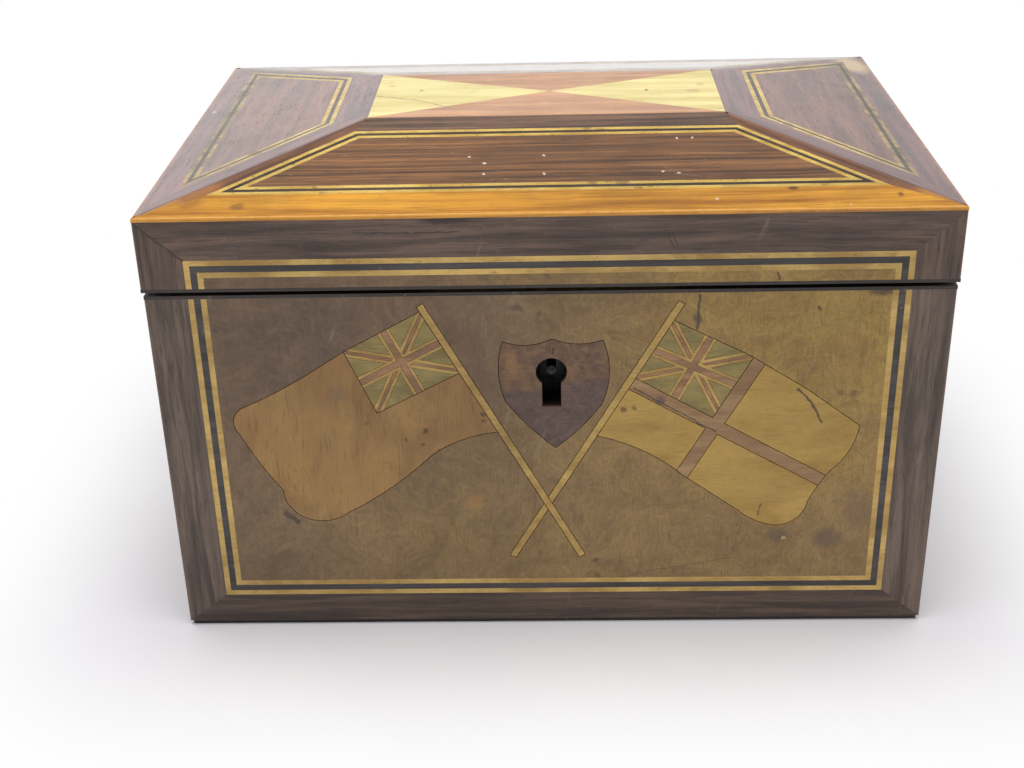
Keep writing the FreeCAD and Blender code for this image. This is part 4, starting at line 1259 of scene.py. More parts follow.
    SATINWOOD = Wood(
        "satinwood_veneer",
        **tones((220, 196, 108), (249, 233, 150), (160, 128, 70)),
        streaks=200.0,
        length=12.0,
        fibre=0.1,
        pores=0.16,
        fade=0.1,
        grime=0.4,
        marks=(
            top_mark((-47.8, -0.6), (-35.6, -5.5), size=0.4, colour=tint(110, 80, 44)),
            top_mark((-35.8, -5.3), (-28.3, -11.5), colour=tint(120, 88, 50)),
            top_mark((-35.2, 4.2), size=0.7, colour=tint(120, 90, 52)),
            top_mark((28.1, 0.7), size=0.9, colour=tint(110, 82, 46)),
            top_mark((41.0, -0.6), size=2.4, colour=tint(176, 138, 78), strength=0.45),
            top_mark((43.5, 5.9), size=1.6, colour=tint(176, 138, 78), strength=0.45),
            top_mark((-44.0, 9.0), size=1.4, colour=tint(180, 142, 82), strength=0.4),
        ),
        **CROWN,
    )
    BROWN = Wood(
        "pinkish_brown_veneer",
        **tones((177, 120, 76), (217, 158, 106), (124, 76, 50)),
        streaks=300.0,
        length=16.0,
        fibre=0.2,
        pores=0.3,
        fade=0.14,
        **CROWN,
    )
    # Dark glue in the joints between inlays, and painted shade inside the keyhole's bore through the front
    # board.
    GLUE_LINE = Wood("board_glue_and_bore_shade", **tones((30, 22, 18), (54, 40, 32), (18, 13, 11)))
    MAHOGANY = Wood(
        "plain_mahogany",
        **tones((92, 48, 28), (150, 88, 54), (50, 26, 16)),
        streaks=220.0,
        polish=(0.42, 0.62),
        scratches=0.15,
    )
    MAHOGANY_DEEP = replace(MAHOGANY, name="plain_mahogany_cross", grain=Grain.ALONG_Y)
    TEA_LID = Wood(
        "tea_lid_rosewood",
        **tones((58, 32, 22), (124, 74, 48), (28, 16, 12)),
        grain=Grain.ALONG_Y,
        streaks=260.0,
        waver=0.005,
    )
    KNOB = Wood(
        "boxwood_knob",
        **tones((178, 140, 78), (222, 190, 122), (110, 78, 40)),
        streaks=300.0,
        length=6.0,
        fibre=0.18,
        pores=0.15,
    )
    BRASS = Metal("aged_brass")
    STEEL = Metal("dull_steel", clean=tint(150, 148, 144), dull=tint(86, 82, 78), polish=(0.36, 0.6))
    LOCK_IRON = Metal(
        "black_iron", clean=tint(52, 52, 52), dull=tint(26, 26, 26), polish=(0.4, 0.65), metallic=0.7
    )
    FOIL = Foil("grey_foil")
    VELVET = Velvet("dark_red_velvet")
    FLOOR = Paper("pale_floor")


@dataclass(frozen=True)
class Leaf:
    """One flat face of a plate: its corners, the way of its grain and the number of its finish."""

    corners: tuple[Vector, ...]
    grain: Vector
    finish: int = 0


@dataclass(frozen=True)
class Plate:
    """A piece of veneer: one leaf, or two that meet in a ridge; its first edge may be eased."""

    leaves: tuple[Leaf, ...]
    down: Vector
    ease: float = 0.0
    ridge: float = 0.0


FLAT_FOLD = 0.6
TURNED_FOLD = 0.9
LEAF_SHIFT = 0.137
SHIFT_ACROSS = 0.61
SAME_PLACE_DIGITS = 7
ROUND_SEGMENTS = 4


class Bench:
    """Turns plates and other bmesh work into finished pieces on their bodies."""

    @staticmethod
    def finished(
        name: str,
        work: bmesh.types.BMesh,
        body: str,
        slot: str,
        stock: Sequence[Stock],
        nodes: Sequence[str] = (),
    ) -> bpy.types.Object:
        """Make a piece of the box out of a bmesh.

        Args:
            name: the piece's name.
            work: its mesh, in place.
            body: the body that it rides on.
            slot: the record's material slot; not used.
            stock: its finishes in slot order.
            nodes: the CAD nodes that it stands for.

        Returns:
            The finished object.
        """
        mesh = bpy.data.meshes.new(name)
        work.to_mesh(mesh)
        work.free()
        piece = bpy.data.objects.new(name, mesh)
        bpy.context.scene.collection.objects.link(piece)
        for finish in stock:
            mesh.materials.append(finish.value.material())
        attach(piece, body)
        if nodes:
            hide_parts(*nodes)
        log.info("%s: %d faces on %s", name, len(mesh.polygons), body)
        return piece

    @staticmethod
    def soften(work: bmesh.types.BMesh, fold: float) -> None:
        """Shade a bmesh smoothly, apart from edges that fold by more than an angle.

        Args:
            work: the bmesh.
            fold: the angle in radians.
        """
        for face in work.faces:
            face.smooth = True
        for edge in work.edges:
            edge.smooth = edge.calc_face_angle(0.0) < fold

    @classmethod
    def lay(cls, plates: Sequence[Plate]) -> bmesh.types.BMesh:
        """Build plates as closed solids with eased edges and a UV map along the grain.

        Each leaf takes its own place on the sheet, so that no two have the same figure.

        Args:
            plates: the pieces of veneer.

        Returns:
            One bmesh that holds them all.
        """
        work = bmesh.new()
        owner = work.faces.layers.int.new("leaf")
        leaves: list[Leaf] = []
        for plate in plates:
            cls.cut(work, plate, owner, len(leaves))
            leaves += plate.leaves
        layer = work.loops.layers.uv.new("grain")
        for face in work.faces:
            number = face[owner]
            along = leaves[number].grain.normalized()
            across = face.normal.cross(along)
            shift = LEAF_SHIFT * number
            for loop in face.loops:
                place = loop.vert.co
                loop[layer].uv = (place.dot(along) + shift, place.dot(across) + shift * SHIFT_ACROSS)
        cls.soften(work, FLAT_FOLD)
        work.faces.layers.int.remove(owner)
        return work

    @staticmethod
    def cut(work: bmesh.types.BMesh, plate: Plate, owner: bmesh.types.BMLayerItem, number: int) -> None:
        """Add one plate to a bmesh.

        Args:
            work: the bmesh that takes the plate.
            plate: the piece of veneer.
            owner: the face layer that notes each face's leaf.
            number: the number of the plate's first leaf.
        """
        corners: dict[tuple[float, ...], bmesh.types.BMVert] = {}
        tops = []
        for step, leaf in enumerate(plate.leaves):
            ring = []
            for corner in leaf.corners:
                key = tuple(round(value, SAME_PLACE_DIGITS) for value in corner)
                if key not in corners:
                    corners[key] = work.verts.new(corner)
                ring.append(corners[key])
            face = work.faces.new(ring)
            face[owner] = number + step
            face.material_index = leaf.finish
            tops.append(face)
        rounded = [tops[0].edges[0]]
        grown = bmesh.ops.extrude_face_region(work, geom=tops)["geom"]
        lowered = [item for item in grown if isinstance(item, bmesh.types.BMVert)]
        bmesh.ops.translate(work, verts=lowered, vec=plate.down)
        faces = {linked for vert in lowered for linked in vert.link_faces}
        for face in faces:
            beside = [linked for edge in face.edges for linked in edge.link_faces if linked in tops]
            if beside:
                face[owner] = beside[0][owner]
                face.material_index = beside[0].material_index
        bmesh.ops.recalc_face_normals(work, faces=[*faces, *tops])
        if plate.ridge:
            rounded = [edge for edge in tops[0].edges if tops[1] in edge.link_faces]
        if plate.ease or plate.ridge:
            bmesh.ops.bevel(
                work,
                geom=rounded,
                offset=plate.ease or plate.ridge,
                segments=ROUND_SEGMENTS,
                profile=0.5,
                affect="EDGES",
                material=-1,
                clamp_overlap=True,
            )

    @staticmethod
    def dress(finishes: dict[str, Stock]) -> None:
        """Give CAD nodes their finishes.

        Args:
            finishes: finish by node name.
        """
        for name, stock in finishes.items():
            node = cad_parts[name]
            material = stock.value.material()
            if not node.material_slots:
                node.data.materials.append(material)
            for slot in node.material_slots:
                slot.link = "OBJECT"
                slot.material = material
            log.info("%s: %s", name, stock.value.name)

    @staticmethod
    def even_shading(piece: bpy.types.Object) -> None:
        """Let the broad faces of a piece keep their own normals beside rounded edges."""
        weighted = piece.modifiers.new("even_shading", "WEIGHTED_NORMAL")
        weighted.keep_sharp = True


@dataclass
class MitredBands:
    """Three mitred bands of veneer on a front: two uprights, and a cross band at one of their ends."""

    half_width: float
    face: float
    free_end: float
    cross_end: float
    inner: float
    line: float
    cross_ease: float
    cross_finish: int
    veneer: float = 1.0 * MM
    ease: float = 0.45 * MM

    def plates(self) -> list[Plate]:
        """Cut the uprights and the cross band.

        Returns:
            The three plates.
        """
        outer, inner = self.half_width, self.inner
        free, cross = self.free_end, self.cross_end
        back = Vector((0, self.veneer, 0))
        made = []
        for sign in (-1, 1):
            corners = [(outer, free), (outer, cross), (inner, self.line), (inner, free)]
            points = tuple(Vector((x * sign, self.face, z)) for x, z in corners)
            made.append(Plate((Leaf(points, Vector((0, 0, 1))),), back, self.ease))
        corners = [(-outer, cross), (outer, cross), (inner, self.line), (-inner, self.line)]
        points = tuple(Vector((x, self.face, z)) for x, z in corners)
        made.append(Plate((Leaf(points, Vector((1, 0, 0)), self.cross_finish),), back, self.cross_ease))
        return made


@dataclass
class CaseFront(MitredBands):
    """The case's crossbanding and stringing round the burr panel."""

    half_width: float = 101.1 * MM
    face: float = -69.1 * MM
    free_end: float = 99.2 * MM
    cross_end: float = 1.4 * MM
    inner: float = 90.0 * MM
    line: float = 10.1 * MM
    cross_ease: float = 0.27 * MM
    cross_finish: int = 1

    def build(self) -> None:
        """Lay the three mitred bands."""
        work = Bench.lay(self.plates())
        stock = [Stock.SIDE_BAND, Stock.FOOT_BAND]
        nodes = ["front_crossbanding"]
        piece = Bench.finished("case_front_bands", work, "case", "rosewood_banding", stock, nodes)
        Bench.even_shading(piece)

    def dress(self) -> None:
        """Finish the panel, the lines and the boards behind them; the front board is dark for the glue in its
        joints and as painted shade in the keyhole's bore.
        """
        Bench.dress(
            {
                "front_burr_panel": Stock.BURR_PANEL,
                "front_boxwood_stringing": Stock.BOXWOOD,
                "front_ebony_stringing": Stock.EBONY,
                "case_front_board": Stock.GLUE_LINE,
                "case_rim_lipping": Stock.DARK_EDGE,
                "base_strip": Stock.DARK_EDGE,
            }
        )


@dataclass
class Marquetry:
    """The crossed flags and the shield of the front."""

    def dress(self) -> None:
        """Finish each wood of the marquetry."""
        Bench.dress(
            {
                "shield_escutcheon": Stock.SHIELD,
                "flag_poles": Stock.BAR_BOXWOOD,
                "canton_grounds": Stock.GREEN,
                "canton_light_bars": Stock.BAR_BOXWOOD,
                "canton_red_bars": Stock.RED,
                "left_flag_field": Stock.LEFT_FIELD,
                "right_flag_field": Stock.RIGHT_FIELD,
                "right_flag_cross": Stock.CROSS,
            }
        )


@dataclass
class LidFront(MitredBands):
    """The lid's crossbanding over its burr strip."""

    half_width: float = 101.5 * MM
    face: float = -69.5 * MM
    free_end: float = 102.1 * MM
    cross_end: float = 119.9 * MM
    inner: float = 90.0 * MM
    line: float = 109.7 * MM
    cross_ease: float = 0.0
    cross_finish: int = 0

    def build(self) -> None:
        """Lay the three mitred bands."""
        work = Bench.lay(self.plates())
        nodes = ["lid_front_crossbanding"]
        piece = Bench.finished("lid_front_bands", work, "lid", "rosewood_banding", [Stock.LID_BAND], nodes)
        Bench.even_shading(piece)

    def dress(self) -> None:
        """Finish the strip, the lines and the lipping."""
        Bench.dress(
            {
                "lid_front_burr_strip": Stock.LID_BURR,
                "lid_front_boxwood_stringing": Stock.BOXWOOD,
                "lid_front_ebony_stringing": Stock.EBONY,
                "lid_rim_lipping": Stock.DARK_EDGE,
            }
        )


class Side(Enum):
    """The lid's four slopes."""

    FRONT = "front"
    BACK = "back"
    LEFT = "left"
    RIGHT = "right"

    def is_long(self) -> bool:
        """Tell whether this is one of the two long slopes."""
        return self in (Side.FRONT, Side.BACK)


@dataclass
class Slope:
    """One slope of the lid, in (along, run) coordinates: along its eave, and in from it.

    The bands are the widths at the eave, at the hips where along starts and ends, and at the flat top.
    """

    half_eave: float
    half_flat: float
    run: float
    bands: Four

    def nested(self, step: float) -> list[Pair]:
        """Find the trapezoid a step inside the bands.

        Args:
            step: the step in millimetres.

        Returns:
            Its corners.
        """
        eave, start_hip, end_hip, flat = self.bands
        lean = (self.half_eave - self.half_flat) / self.run
        stretch = math.hypot(lean, 1)
        low, high = eave + step, self.run - flat - step
        start = self.half_eave - stretch * (start_hip + step)
        end = self.half_eave - stretch * (end_hip + step)
        return [
            (lean * low - start, low),
            (end - lean * low, low),
            (end - lean * high, high),
            (lean * high - start, high),
        ]

    def whole(self) -> list[Pair]:
        """Return the corners of the whole slope."""
        eave, flat = self.half_eave, self.half_flat
        return [(-eave, 0), (eave, 0), (flat, self.run), (-flat, self.run)]


@dataclass
class LidCrown:
    """The lid's four slopes with their bands, lines and panels, and the bow tie of the flat top; in mm."""

    half_width: float = 101.5
    half_depth: float = 69.5
    flat_x: float = 47.8
    flat_y: float = 21.2
    bow_tie: Pair = (1.0, 1.5)
    eave: float = 120.9
    rise: float = 9.85
    veneer: float = 1.0
    lines: float = 3.7
    ease: float = 0.4
    ridge_round: float = 1.0
    long_bands: Four = (10.3, 3.6, 3.6, 7.2)
    short_bands: Four = (8.2, 7.4, 3.2, 9.6)

    def slope(self, side: Side) -> Slope:
        """Return one slope."""
        if side.is_long():
            return Slope(self.half_width, self.flat_x, self.half_depth - self.flat_y, self.long_bands)
        return Slope(self.half_depth, self.flat_y, self.half_width - self.flat_x, self.short_bands)

    def spot(self, side: Side, corner: Pair) -> Vector:
        """Find the place of a corner of a slope.

        Args:
            side: the slope.
            corner: the corner in (along, run) coordinates.

        Returns:
            Its place in metres.
        """
        along, run = corner
        plan = {
            Side.FRONT: (along, run - self.half_depth),
            Side.BACK: (along, self.half_depth - run),
            Side.LEFT: (run - self.half_width, along),
            Side.RIGHT: (self.half_width - run, along),
        }[side]
        return Vector((*plan, self.eave + self.rise * run / self.slope(side).run)) * MM

    def band(self, side: Side, number: int, finish: int) -> Leaf:
        """Cut one band of a slope.

        Args:
            side: the slope.
            number: 0 at the eave, 1 and 3 at the hips, 2 at the flat top.
            finish: the number of its finish.

        Returns:
            The band's leaf.
        """
        slope = self.slope(side)
        outer = [self.spot(side, corner) for corner in slope.whole()]
        inner = [self.spot(side, corner) for corner in slope.nested(0)]
        after = (number + 1) % 4
        corners = (outer[number], outer[after], inner[after], inner[number])
        return Leaf(corners, outer[after] - outer[number], finish)

    def triangle(self, side: Side, finish: int) -> Leaf:
        """Cut one triangle of the bow tie.

        Args:
            side: the slope that it adjoins.
            finish: the number of its finish.

        Returns:
            The triangle's leaf.
        """
        corners = [self.spot(side, corner) for corner in self.slope(side).whole()[2:]]
        middle = Vector((*self.bow_tie, self.eave + self.rise)) * MM
        return Leaf((*corners, middle), Vector((1, 0, 0)), finish)

    def build(self) -> None:
        """Lay the bands with the bow tie, and the panels."""
        down = Vector((0, 0, -self.veneer)) * MM
        self.build_bands(down)
        self.build_panels(down)

    def build_bands(self, down: Vector) -> None:
        """Lay the eaves, the hips and the folds from the slopes onto the bow tie.

        Args:
            down: the veneer's thickness, downward.
        """
        stock = [
            Stock.DARK_SLOPE_BAND,
            Stock.GOLDEN_SLOPE_BAND,
            Stock.HIP_BAND,
            Stock.TOP_BAND,
            Stock.SATINWOOD,
            Stock.BROWN,
        ]
        dark, golden, hip, top, satin, brown = range(len(stock))
        ridge = self.ridge_round * MM
        bands = []
        for side in Side:
            eave = self.band(side, 0, golden if side is Side.FRONT else dark)
            bands.append(Plate((eave,), down, ease=self.ease * MM))
            upper = self.band(side, 2, top if side.is_long() else dark)
            fold = (upper, self.triangle(side, brown if side.is_long() else satin))
            bands.append(Plate(fold, down, ridge=ridge))
        for long_side, number, short_side, other in (
            (Side.FRONT, 1, Side.RIGHT, 3),
            (Side.FRONT, 3, Side.LEFT, 3),
            (Side.BACK, 1, Side.RIGHT, 1),
            (Side.BACK, 3, Side.LEFT, 1),
        ):
            fold = (self.band(long_side, number, hip), self.band(short_side, other, dark))
            bands.append(Plate(fold, down, ridge=ridge))
        nodes = ["lid_slope_banding", "top_satinwood_triangles", "top_brown_triangles"]
        piece = Bench.finished("lid_crown_bands", Bench.lay(bands), "lid", "rosewood_banding", stock, nodes)
        Bench.even_shading(piece)

    def build_panels(self, down: Vector) -> None:
        """Lay the four panels inside the lines.

        Args:
            down: the veneer's thickness, downward.
        """
        stock = [Stock.FRONT_SLOPE_PANEL, Stock.BACK_SLOPE_PANEL, Stock.SIDE_SLOPE_PANEL]
        finishes = {Side.FRONT: 0, Side.BACK: 1, Side.LEFT: 2, Side.RIGHT: 2}
        panels = []
        for side, finish in finishes.items():
            corners = tuple(self.spot(side, corner) for corner in self.slope(side).nested(self.lines))
            panels.append(Plate((Leaf(corners, corners[1] - corners[0], finish),), down))
        work = Bench.lay(panels)
        Bench.finished("lid_crown_panels", work, "lid", "rosewood_veneer", stock, ["lid_slope_panels"])

    def dress(self) -> None:
        """Finish the lines and the plain sides and back of the lid."""
        Bench.dress(
            {
                "lid_slope_boxwood_stringing": Stock.SLOPE_BOXWOOD,
                "lid_slope_ebony_stringing": Stock.SLOPE_EBONY,
                "lid_side_veneers": Stock.LID_SIDE_VENEER,
                "lid_back_veneer": Stock.LID_BACK_VENEER,
            }
        )


@dataclass
class Carcass:
    """Boards, rails and the plain veneers of the sides and back."""

    def dress(self) -> None:
        """Finish the boards along their length."""
        Bench.dress(
            {
                "case_side_veneers": Stock.SIDE_VENEER,
                "case_back_veneer": Stock.BACK_VENEER,
                "case_back_board": Stock.MAHOGANY,
                "case_left_board": Stock.MAHOGANY_DEEP,
                "case_right_board": Stock.MAHOGANY_DEEP,
                "case_bottom_board": Stock.MAHOGANY,
                "partition_board": Stock.MAHOGANY_DEEP,
                "lid_front_rail": Stock.MAHOGANY,
                "lid_back_rail": Stock.MAHOGANY,
                "lid_left_rail": Stock.MAHOGANY_DEEP,
                "lid_right_rail": Stock.MAHOGANY_DEEP,
                "lid_crown_board": Stock.MAHOGANY,
            }
        )


@dataclass
class TeaFittings:
    """The lined compartments, their lift-out lids with turned knobs, and the velvet in the lid."""

    knob_profile: tuple[Pair, ...] = (
        (0.0, 0.0),
        (3.24, 0.0),
        (3.24, 0.7),
        (2.9, 1.15),
        (2.1, 1.9),
        (1.72, 2.7),
        (1.7, 3.6),
        (2.0, 4.3),
        (3.1, 5.0),
        (4.05, 5.9),
        (4.45, 7.0),
        (4.4, 8.1),
        (3.85, 9.2),
        (2.8, 10.2),
        (1.4, 10.8),
        (0.0, 11.0),
    )
    knob_steps: int = 40
    pad_cells: tuple[int, int] = (60, 40)
    pad_share: float = 0.4
    pad_rim: float = 1.0
    pressure: float = 4.0
    frames: int = 20
    travel: float = 1.6 * MM
    merge: float = 1e-6

    def build(self) -> None:
        """Turn the knobs and pad the velvet."""
        for side in ("left", "right"):
            self.build_knob(side)
        self.build_lining()

    def build_knob(self, side: str) -> None:
        """Turn one knob.

        Args:
            side: left or right.
        """
        node = f"{side}_tea_lid_knob"
        low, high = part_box(node)
        work = bmesh.new()
        points = [work.verts.new((radius * MM, 0, height * MM)) for radius, height in self.knob_profile]
        edges = [work.edges.new(pair) for pair in zip(points, points[1:])]
        bmesh.ops.spin(
            work,
            geom=points + edges,
            axis=(0, 0, 1),
            cent=(0, 0, 0),
            angle=math.tau,
            steps=self.knob_steps,
            use_merge=True,
        )
        bmesh.ops.remove_doubles(work, verts=work.verts[:], dist=self.merge)
        bmesh.ops.recalc_face_normals(work, faces=work.faces[:])
        Bench.soften(work, TURNED_FOLD)
        place = Vector(((low.x + high.x) / 2, (low.y + high.y) / 2, low.z))
        bmesh.ops.translate(work, verts=work.verts[:], vec=place)
        Bench.finished(f"{side}_turned_knob", work, f"{side}_tea_lid", "turned_boxwood", [Stock.KNOB], [node])

    def build_lining(self) -> None:
        """Pad the velvet of the lid: flat where it is glued, softly crowned where it shows."""
        low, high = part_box("lid_lining")
        columns, rows = self.pad_cells
        work = bmesh.new()
        bmesh.ops.create_grid(work, x_segments=columns, y_segments=rows, size=0.5)
        bmesh.ops.scale(work, verts=work.verts[:], vec=(high.x - low.x, high.y - low.y, 1))
        grown = bmesh.ops.extrude_face_region(work, geom=work.faces[:])["geom"]
        shown = [item for item in grown if isinstance(item, bmesh.types.BMVert)]
        bmesh.ops.translate(work, verts=shown, vec=(0, 0, (low.z - high.z) * self.pad_share))
        bmesh.ops.recalc_face_normals(work, faces=work.faces[:])
        work.verts.index_update()
        folded = [edge for edge in work.edges if edge.calc_face_angle(0.0) > self.pad_rim]
        rim = {vert for edge in folded for vert in edge.verts}
        self.swell(work, [vert.index for vert in shown if vert not in rim])
        Bench.soften(work, TURNED_FOLD)
        middle = Vector(((low.x + high.x) / 2, (low.y + high.y) / 2, high.z))
        bmesh.ops.translate(work, verts=work.verts[:], vec=middle)
        pad = Bench.finished("lid_velvet", work, "lid", "lining_cloth", [Stock.VELVET], ["lid_lining"])

    def swell(self, work: bmesh.types.BMesh, free: Sequence[int]) -> None:
        """Let the free cloth of a pad swell under a light pressure, with its travel capped.

        Args:
            work: the pad's mesh, glued everywhere else.
            free: numbers of the points that may move.
        """
        scene = bpy.context.scene
        mesh = bpy.data.meshes.new("pad_cloth")
        work.to_mesh(mesh)
        cushion = bpy.data.objects.new("pad_cloth", mesh)
        scene.collection.objects.link(cushion)
        glued = cushion.vertex_groups.new(name="glued")
        moving = set(free)
        glued.add([vert.index for vert in mesh.vertices if vert.index not in moving], 1.0, "REPLACE")
        cloth = cushion.modifiers.new("swelling", "CLOTH").settings
        cloth.vertex_group_mass = glued.name
        cloth.use_pressure = True
        cloth.uniform_pressure_force = self.pressure
        cloth.effector_weights.gravity = 0.0
        for number in range(1, self.frames + 1):
            scene.frame_set(number)
        swollen = cushion.evaluated_get(bpy.context.evaluated_depsgraph_get()).data
        travel = [swollen.vertices[number].co - mesh.vertices[number].co for number in free]
        work.verts.ensure_lookup_table()
        for number, move in zip(free, travel):
            work.verts[number].co.z -= self.travel * math.tanh(move.length / self.travel)
        log.info("pad swelled by up to %.2f mm before the cap", max(move.length for move in travel) / MM)
        bpy.data.objects.remove(cushion)
        bpy.data.meshes.remove(mesh)
        scene.frame_set(1)

    def dress(self) -> None:
        """Finish the linings and the tea lids."""
        Bench.dress(
            {
                "left_tea_lining": Stock.FOIL,
                "right_tea_lining": Stock.FOIL,
                "left_tea_lid": Stock.TEA_LID,
                "right_tea_lid": Stock.TEA_LID,
            }
        )


@dataclass
class BrassWork:
    """Hinges, lock and the slotted screws that hold them."""

    head: float = 1.8 * MM
    slot: float = 0.24 * MM
    proud: float = 0.1 * MM
    rim_share: float = 0.5
    rim_segments: int = 2
    floor_width: float = 0.97
    floor_share: float = 0.3
    segments: int = 28
    hinge_x: float = 64.0 * MM
    hinge_step: float = 11.0 * MM
    hinge_y: float = 61.475 * MM
    plate_x: float = 28.5 * MM
    plate_y: float = -62.2 * MM
    case_level: float = 100.1 * MM
    lid_level: float = 101.2 * MM
    selvedge_level: float = 100.45 * MM
    link_level: float = 100.85 * MM
    first_turn: float = 0.4
    hinge_turn: float = 1.1
    plate_turn: float = 0.7

    def make_head(self) -> bpy.types.Mesh:
        """Make one slotted head on the origin: two halves with a gap between them over a thin disc.

        Returns:
            The head's mesh.
        """
        head = bmesh.new()
        bmesh.ops.create_circle(head, cap_ends=True, radius=self.head, segments=self.segments)
        geom = head.verts[:] + head.edges[:] + head.faces[:]
        bmesh.ops.bisect_plane(
            head, geom=geom, plane_co=(self.slot, 0, 0), plane_no=(1, 0, 0), clear_inner=True
        )
        grown = bmesh.ops.extrude_face_region(head, geom=head.faces[:])["geom"]
        raised = [item for item in grown if isinstance(item, bmesh.types.BMVert)]
        bmesh.ops.translate(head, verts=raised, vec=(0, 0, self.proud))
        rim = [edge for edge in head.edges if all(vert in raised for vert in edge.verts)]
        bmesh.ops.bevel(
            head,
            geom=rim,
            offset=self.proud * self.rim_share,
            segments=self.rim_segments,
            profile=0.5,
            affect="EDGES",
            material=-1,
        )
        geom = head.verts[:] + head.edges[:] + head.faces[:]
        bmesh.ops.mirror(head, geom=geom, axis="X", merge_dist=0.0)
        radius = self.head * self.floor_width
        depth = self.proud * self.floor_share
        floor = bmesh.ops.create_cone(
            head, cap_ends=True, segments=self.segments, radius1=radius, radius2=radius, depth=depth
        )
        bmesh.ops.translate(head, verts=floor["verts"], vec=(0, 0, depth / 2))
        bmesh.ops.recalc_face_normals(head, faces=head.faces[:])
        mesh = bpy.data.meshes.new("screw_head")
        head.to_mesh(mesh)
        head.free()
        return mesh

    @staticmethod
    def drive(work: bmesh.types.BMesh, head: bpy.types.Mesh, place: Place, turn: float, down: bool) -> None:
        """Put one head in its place.

        Args:
            work: the bmesh that takes the head.
            head: the head's mesh.
            place: middle of the head on the plate's face.
            turn: which way its slot points.
            down: True where the head looks downward.
        """
        before = len(work.verts)
        work.from_mesh(head)
        work.verts.ensure_lookup_table()
        made = work.verts[before:]
        spin = Matrix.Rotation(turn, 3, "Z")
        if down:
            spin = Matrix.Rotation(math.pi, 3, "X") @ spin
        bmesh.ops.rotate(work, verts=made, matrix=spin)
        bmesh.ops.translate(work, verts=made, vec=place)

    def build(self) -> None:
        """Drive three screws into each hinge leaf and two into each plate of the lock."""
        head = self.make_head()
        for body, hinge_level, plate_level, down in (
            ("case", self.case_level, self.selvedge_level, False),
            ("lid", self.lid_level, self.link_level, True),
        ):
            work = bmesh.new()
            turn = self.first_turn
            for sign in (-1, 1):
                for step in (-1, 0, 1):
                    turn += self.hinge_turn
                    x = self.hinge_x * sign + self.hinge_step * step
                    self.drive(work, head, (x, self.hinge_y, hinge_level), turn, down)
                turn += self.plate_turn
                self.drive(work, head, (self.plate_x * sign, self.plate_y, plate_level), turn, down)
            Bench.finished(f"{body}_screws", work, body, "brass", [Stock.BRASS])
        bpy.data.meshes.remove(head)

    def dress(self) -> None:
        """Finish the metal."""
        Bench.dress(
            {
                "hinge_case_leaves": Stock.BRASS,
                "hinge_lid_leaves": Stock.BRASS,
                "lock_selvedge": Stock.BRASS,
                "link_plate": Stock.BRASS,
                "link_loops": Stock.BRASS,
                "hinge_pins": Stock.STEEL,
                "lock_case": Stock.LOCK_IRON,
                "lock_pin": Stock.LOCK_IRON,
                "lock_bolt": Stock.STEEL,
            }
        )


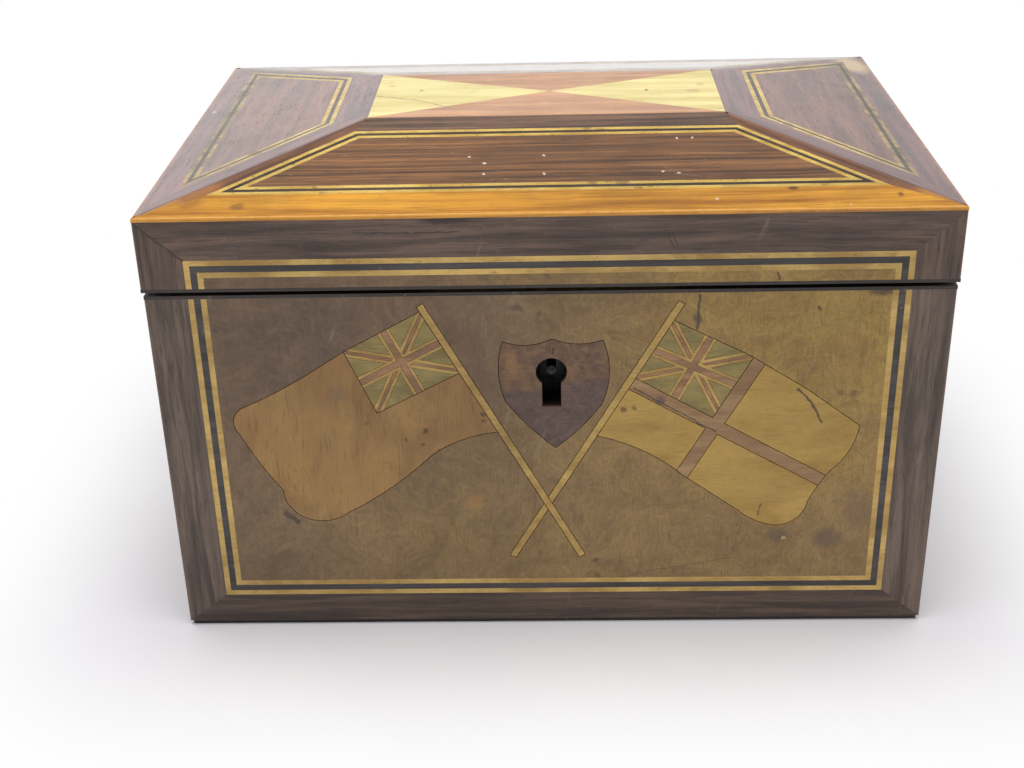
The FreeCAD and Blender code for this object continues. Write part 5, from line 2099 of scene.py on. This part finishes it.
@dataclass
class Studio:
    """Floor, lamp, world and the photograph's camera."""

    focal_pixels: float = 1509.634
    image_width: float = 1024.0
    film_width: float = 36.0
    nearest: float = 0.01
    distance: float = 464.069 * MM
    elevation: float = math.radians(26.828)
    azimuth: float = math.radians(1.899)
    roll: float = math.radians(-1.530)
    aim: Place = (-11.7015 * MM, 0.0, 39.4389 * MM)
    floor_half: float = 4.0
    floor_cells: int = 8
    ambient: float = 0.45
    white_heights: Pair = (0.28, 0.58)
    middle_fall: Four = (-0.12, 0.12, 1.0, 0.85)
    right_fall: Four = (0.14, 0.3, 1.0, 0.6)
    lamp_place: Place = (-0.05, -0.1, 1.15)
    lamp_aim: Place = (-0.05, -0.1, 0.0)
    lamp_sides: Pair = (1.3, 1.0)
    lamp_watts: float = 10.0

    def build(self) -> None:
        """Set up everything round the box."""
        bpy.context.scene.view_settings.view_transform = "Standard"
        self.build_floor()
        self.build_world()
        self.build_lamp()
        self.build_camera()

    def build_floor(self) -> None:
        """Lay a wide pale sheet under the box."""
        work = bmesh.new()
        cells = self.floor_cells
        bmesh.ops.create_grid(work, x_segments=cells, y_segments=cells, size=self.floor_half)
        mesh = bpy.data.meshes.new("floor")
        work.to_mesh(mesh)
        work.free()
        mesh.materials.append(Stock.FLOOR.value.material())
        floor = bpy.data.objects.new("floor", mesh)
        bpy.context.scene.collection.objects.link(floor)

    def build_world(self) -> None:
        """Give the world a plain light, and white where it is seen or its lower part is mirrored.

        The mirrored white falls off a little towards the right.
        """
        world = bpy.data.worlds.new("studio")
        world.use_nodes = True
        world.node_tree.nodes.clear()
        graph = Graph(world.node_tree)
        path = graph.add("LightPath").outputs
        across, _, up = graph.parts(graph.add("TexCoord").outputs["Generated"])
        sides = graph.times(graph.span(across, *self.middle_fall), graph.span(across, *self.right_fall))
        low = graph.times(graph.span(up, *self.white_heights, 1.0, 0.0), sides)
        white_part = graph.calc("MAXIMUM", path["Is Camera Ray"], graph.times(graph.mirrored(path), low))
        light = graph.add("Background", {"Color": WHITE, "Strength": self.ambient})
        white = graph.add("Background", {"Color": WHITE, "Strength": 1.0})
        mixed = graph.add("MixShader", {0: white_part, 1: light.outputs[0], 2: white.outputs[0]})
        graph.add("OutputWorld", {"Surface": mixed.outputs[0]})
        bpy.context.scene.world = world

    def build_lamp(self) -> None:
        """Hang one soft rectangular lamp over the box."""
        lamp = bpy.data.lights.new("overhead", "AREA")
        lamp.shape = "RECTANGLE"
        lamp.size, lamp.size_y = self.lamp_sides
        lamp.energy = self.lamp_watts
        holder = bpy.data.objects.new("overhead", lamp)
        holder.location = self.lamp_place
        way = Vector(self.lamp_aim) - Vector(self.lamp_place)
        holder.rotation_euler = way.to_track_quat("-Z", "Y").to_euler()
        holder.visible_camera = False
        bpy.context.scene.collection.objects.link(holder)

    def build_camera(self) -> None:
        """Stand the camera where the photograph was taken."""
        flat, height = math.cos(self.elevation), math.sin(self.elevation)
        back = Vector((math.sin(self.azimuth) * flat, -math.cos(self.azimuth) * flat, height))
        level = Vector((math.cos(self.azimuth), math.sin(self.azimuth), 0))
        rise = back.cross(level)
        right = level * math.cos(self.roll) + rise * math.sin(self.roll)
        up = rise * math.cos(self.roll) - level * math.sin(self.roll)
        lens = bpy.data.cameras.new("photograph")
        lens.sensor_width = self.film_width
        lens.sensor_fit = "HORIZONTAL"
        lens.lens = self.focal_pixels * self.film_width / self.image_width
        lens.clip_start = self.nearest
        camera = bpy.data.objects.new("photograph", lens)
        turn = Matrix((right, up, back)).transposed().to_4x4()
        camera.matrix_world = Matrix.Translation(Vector(self.aim) + back * self.distance) @ turn
        bpy.context.scene.collection.objects.link(camera)
        bpy.context.scene.camera = camera


def main() -> None:
    """Build and dress every part of the box, then set up the studio round it."""
    logging.basicConfig(level=logging.INFO, format="%(name)s: %(message)s")
    for part in (CaseFront(), LidFront(), LidCrown(), TeaFittings(), BrassWork()):
        part.build()
        part.dress()
    Marquetry().dress()
    Carcass().dress()
    Studio().build()


if __name__ == "__main__":
    main()
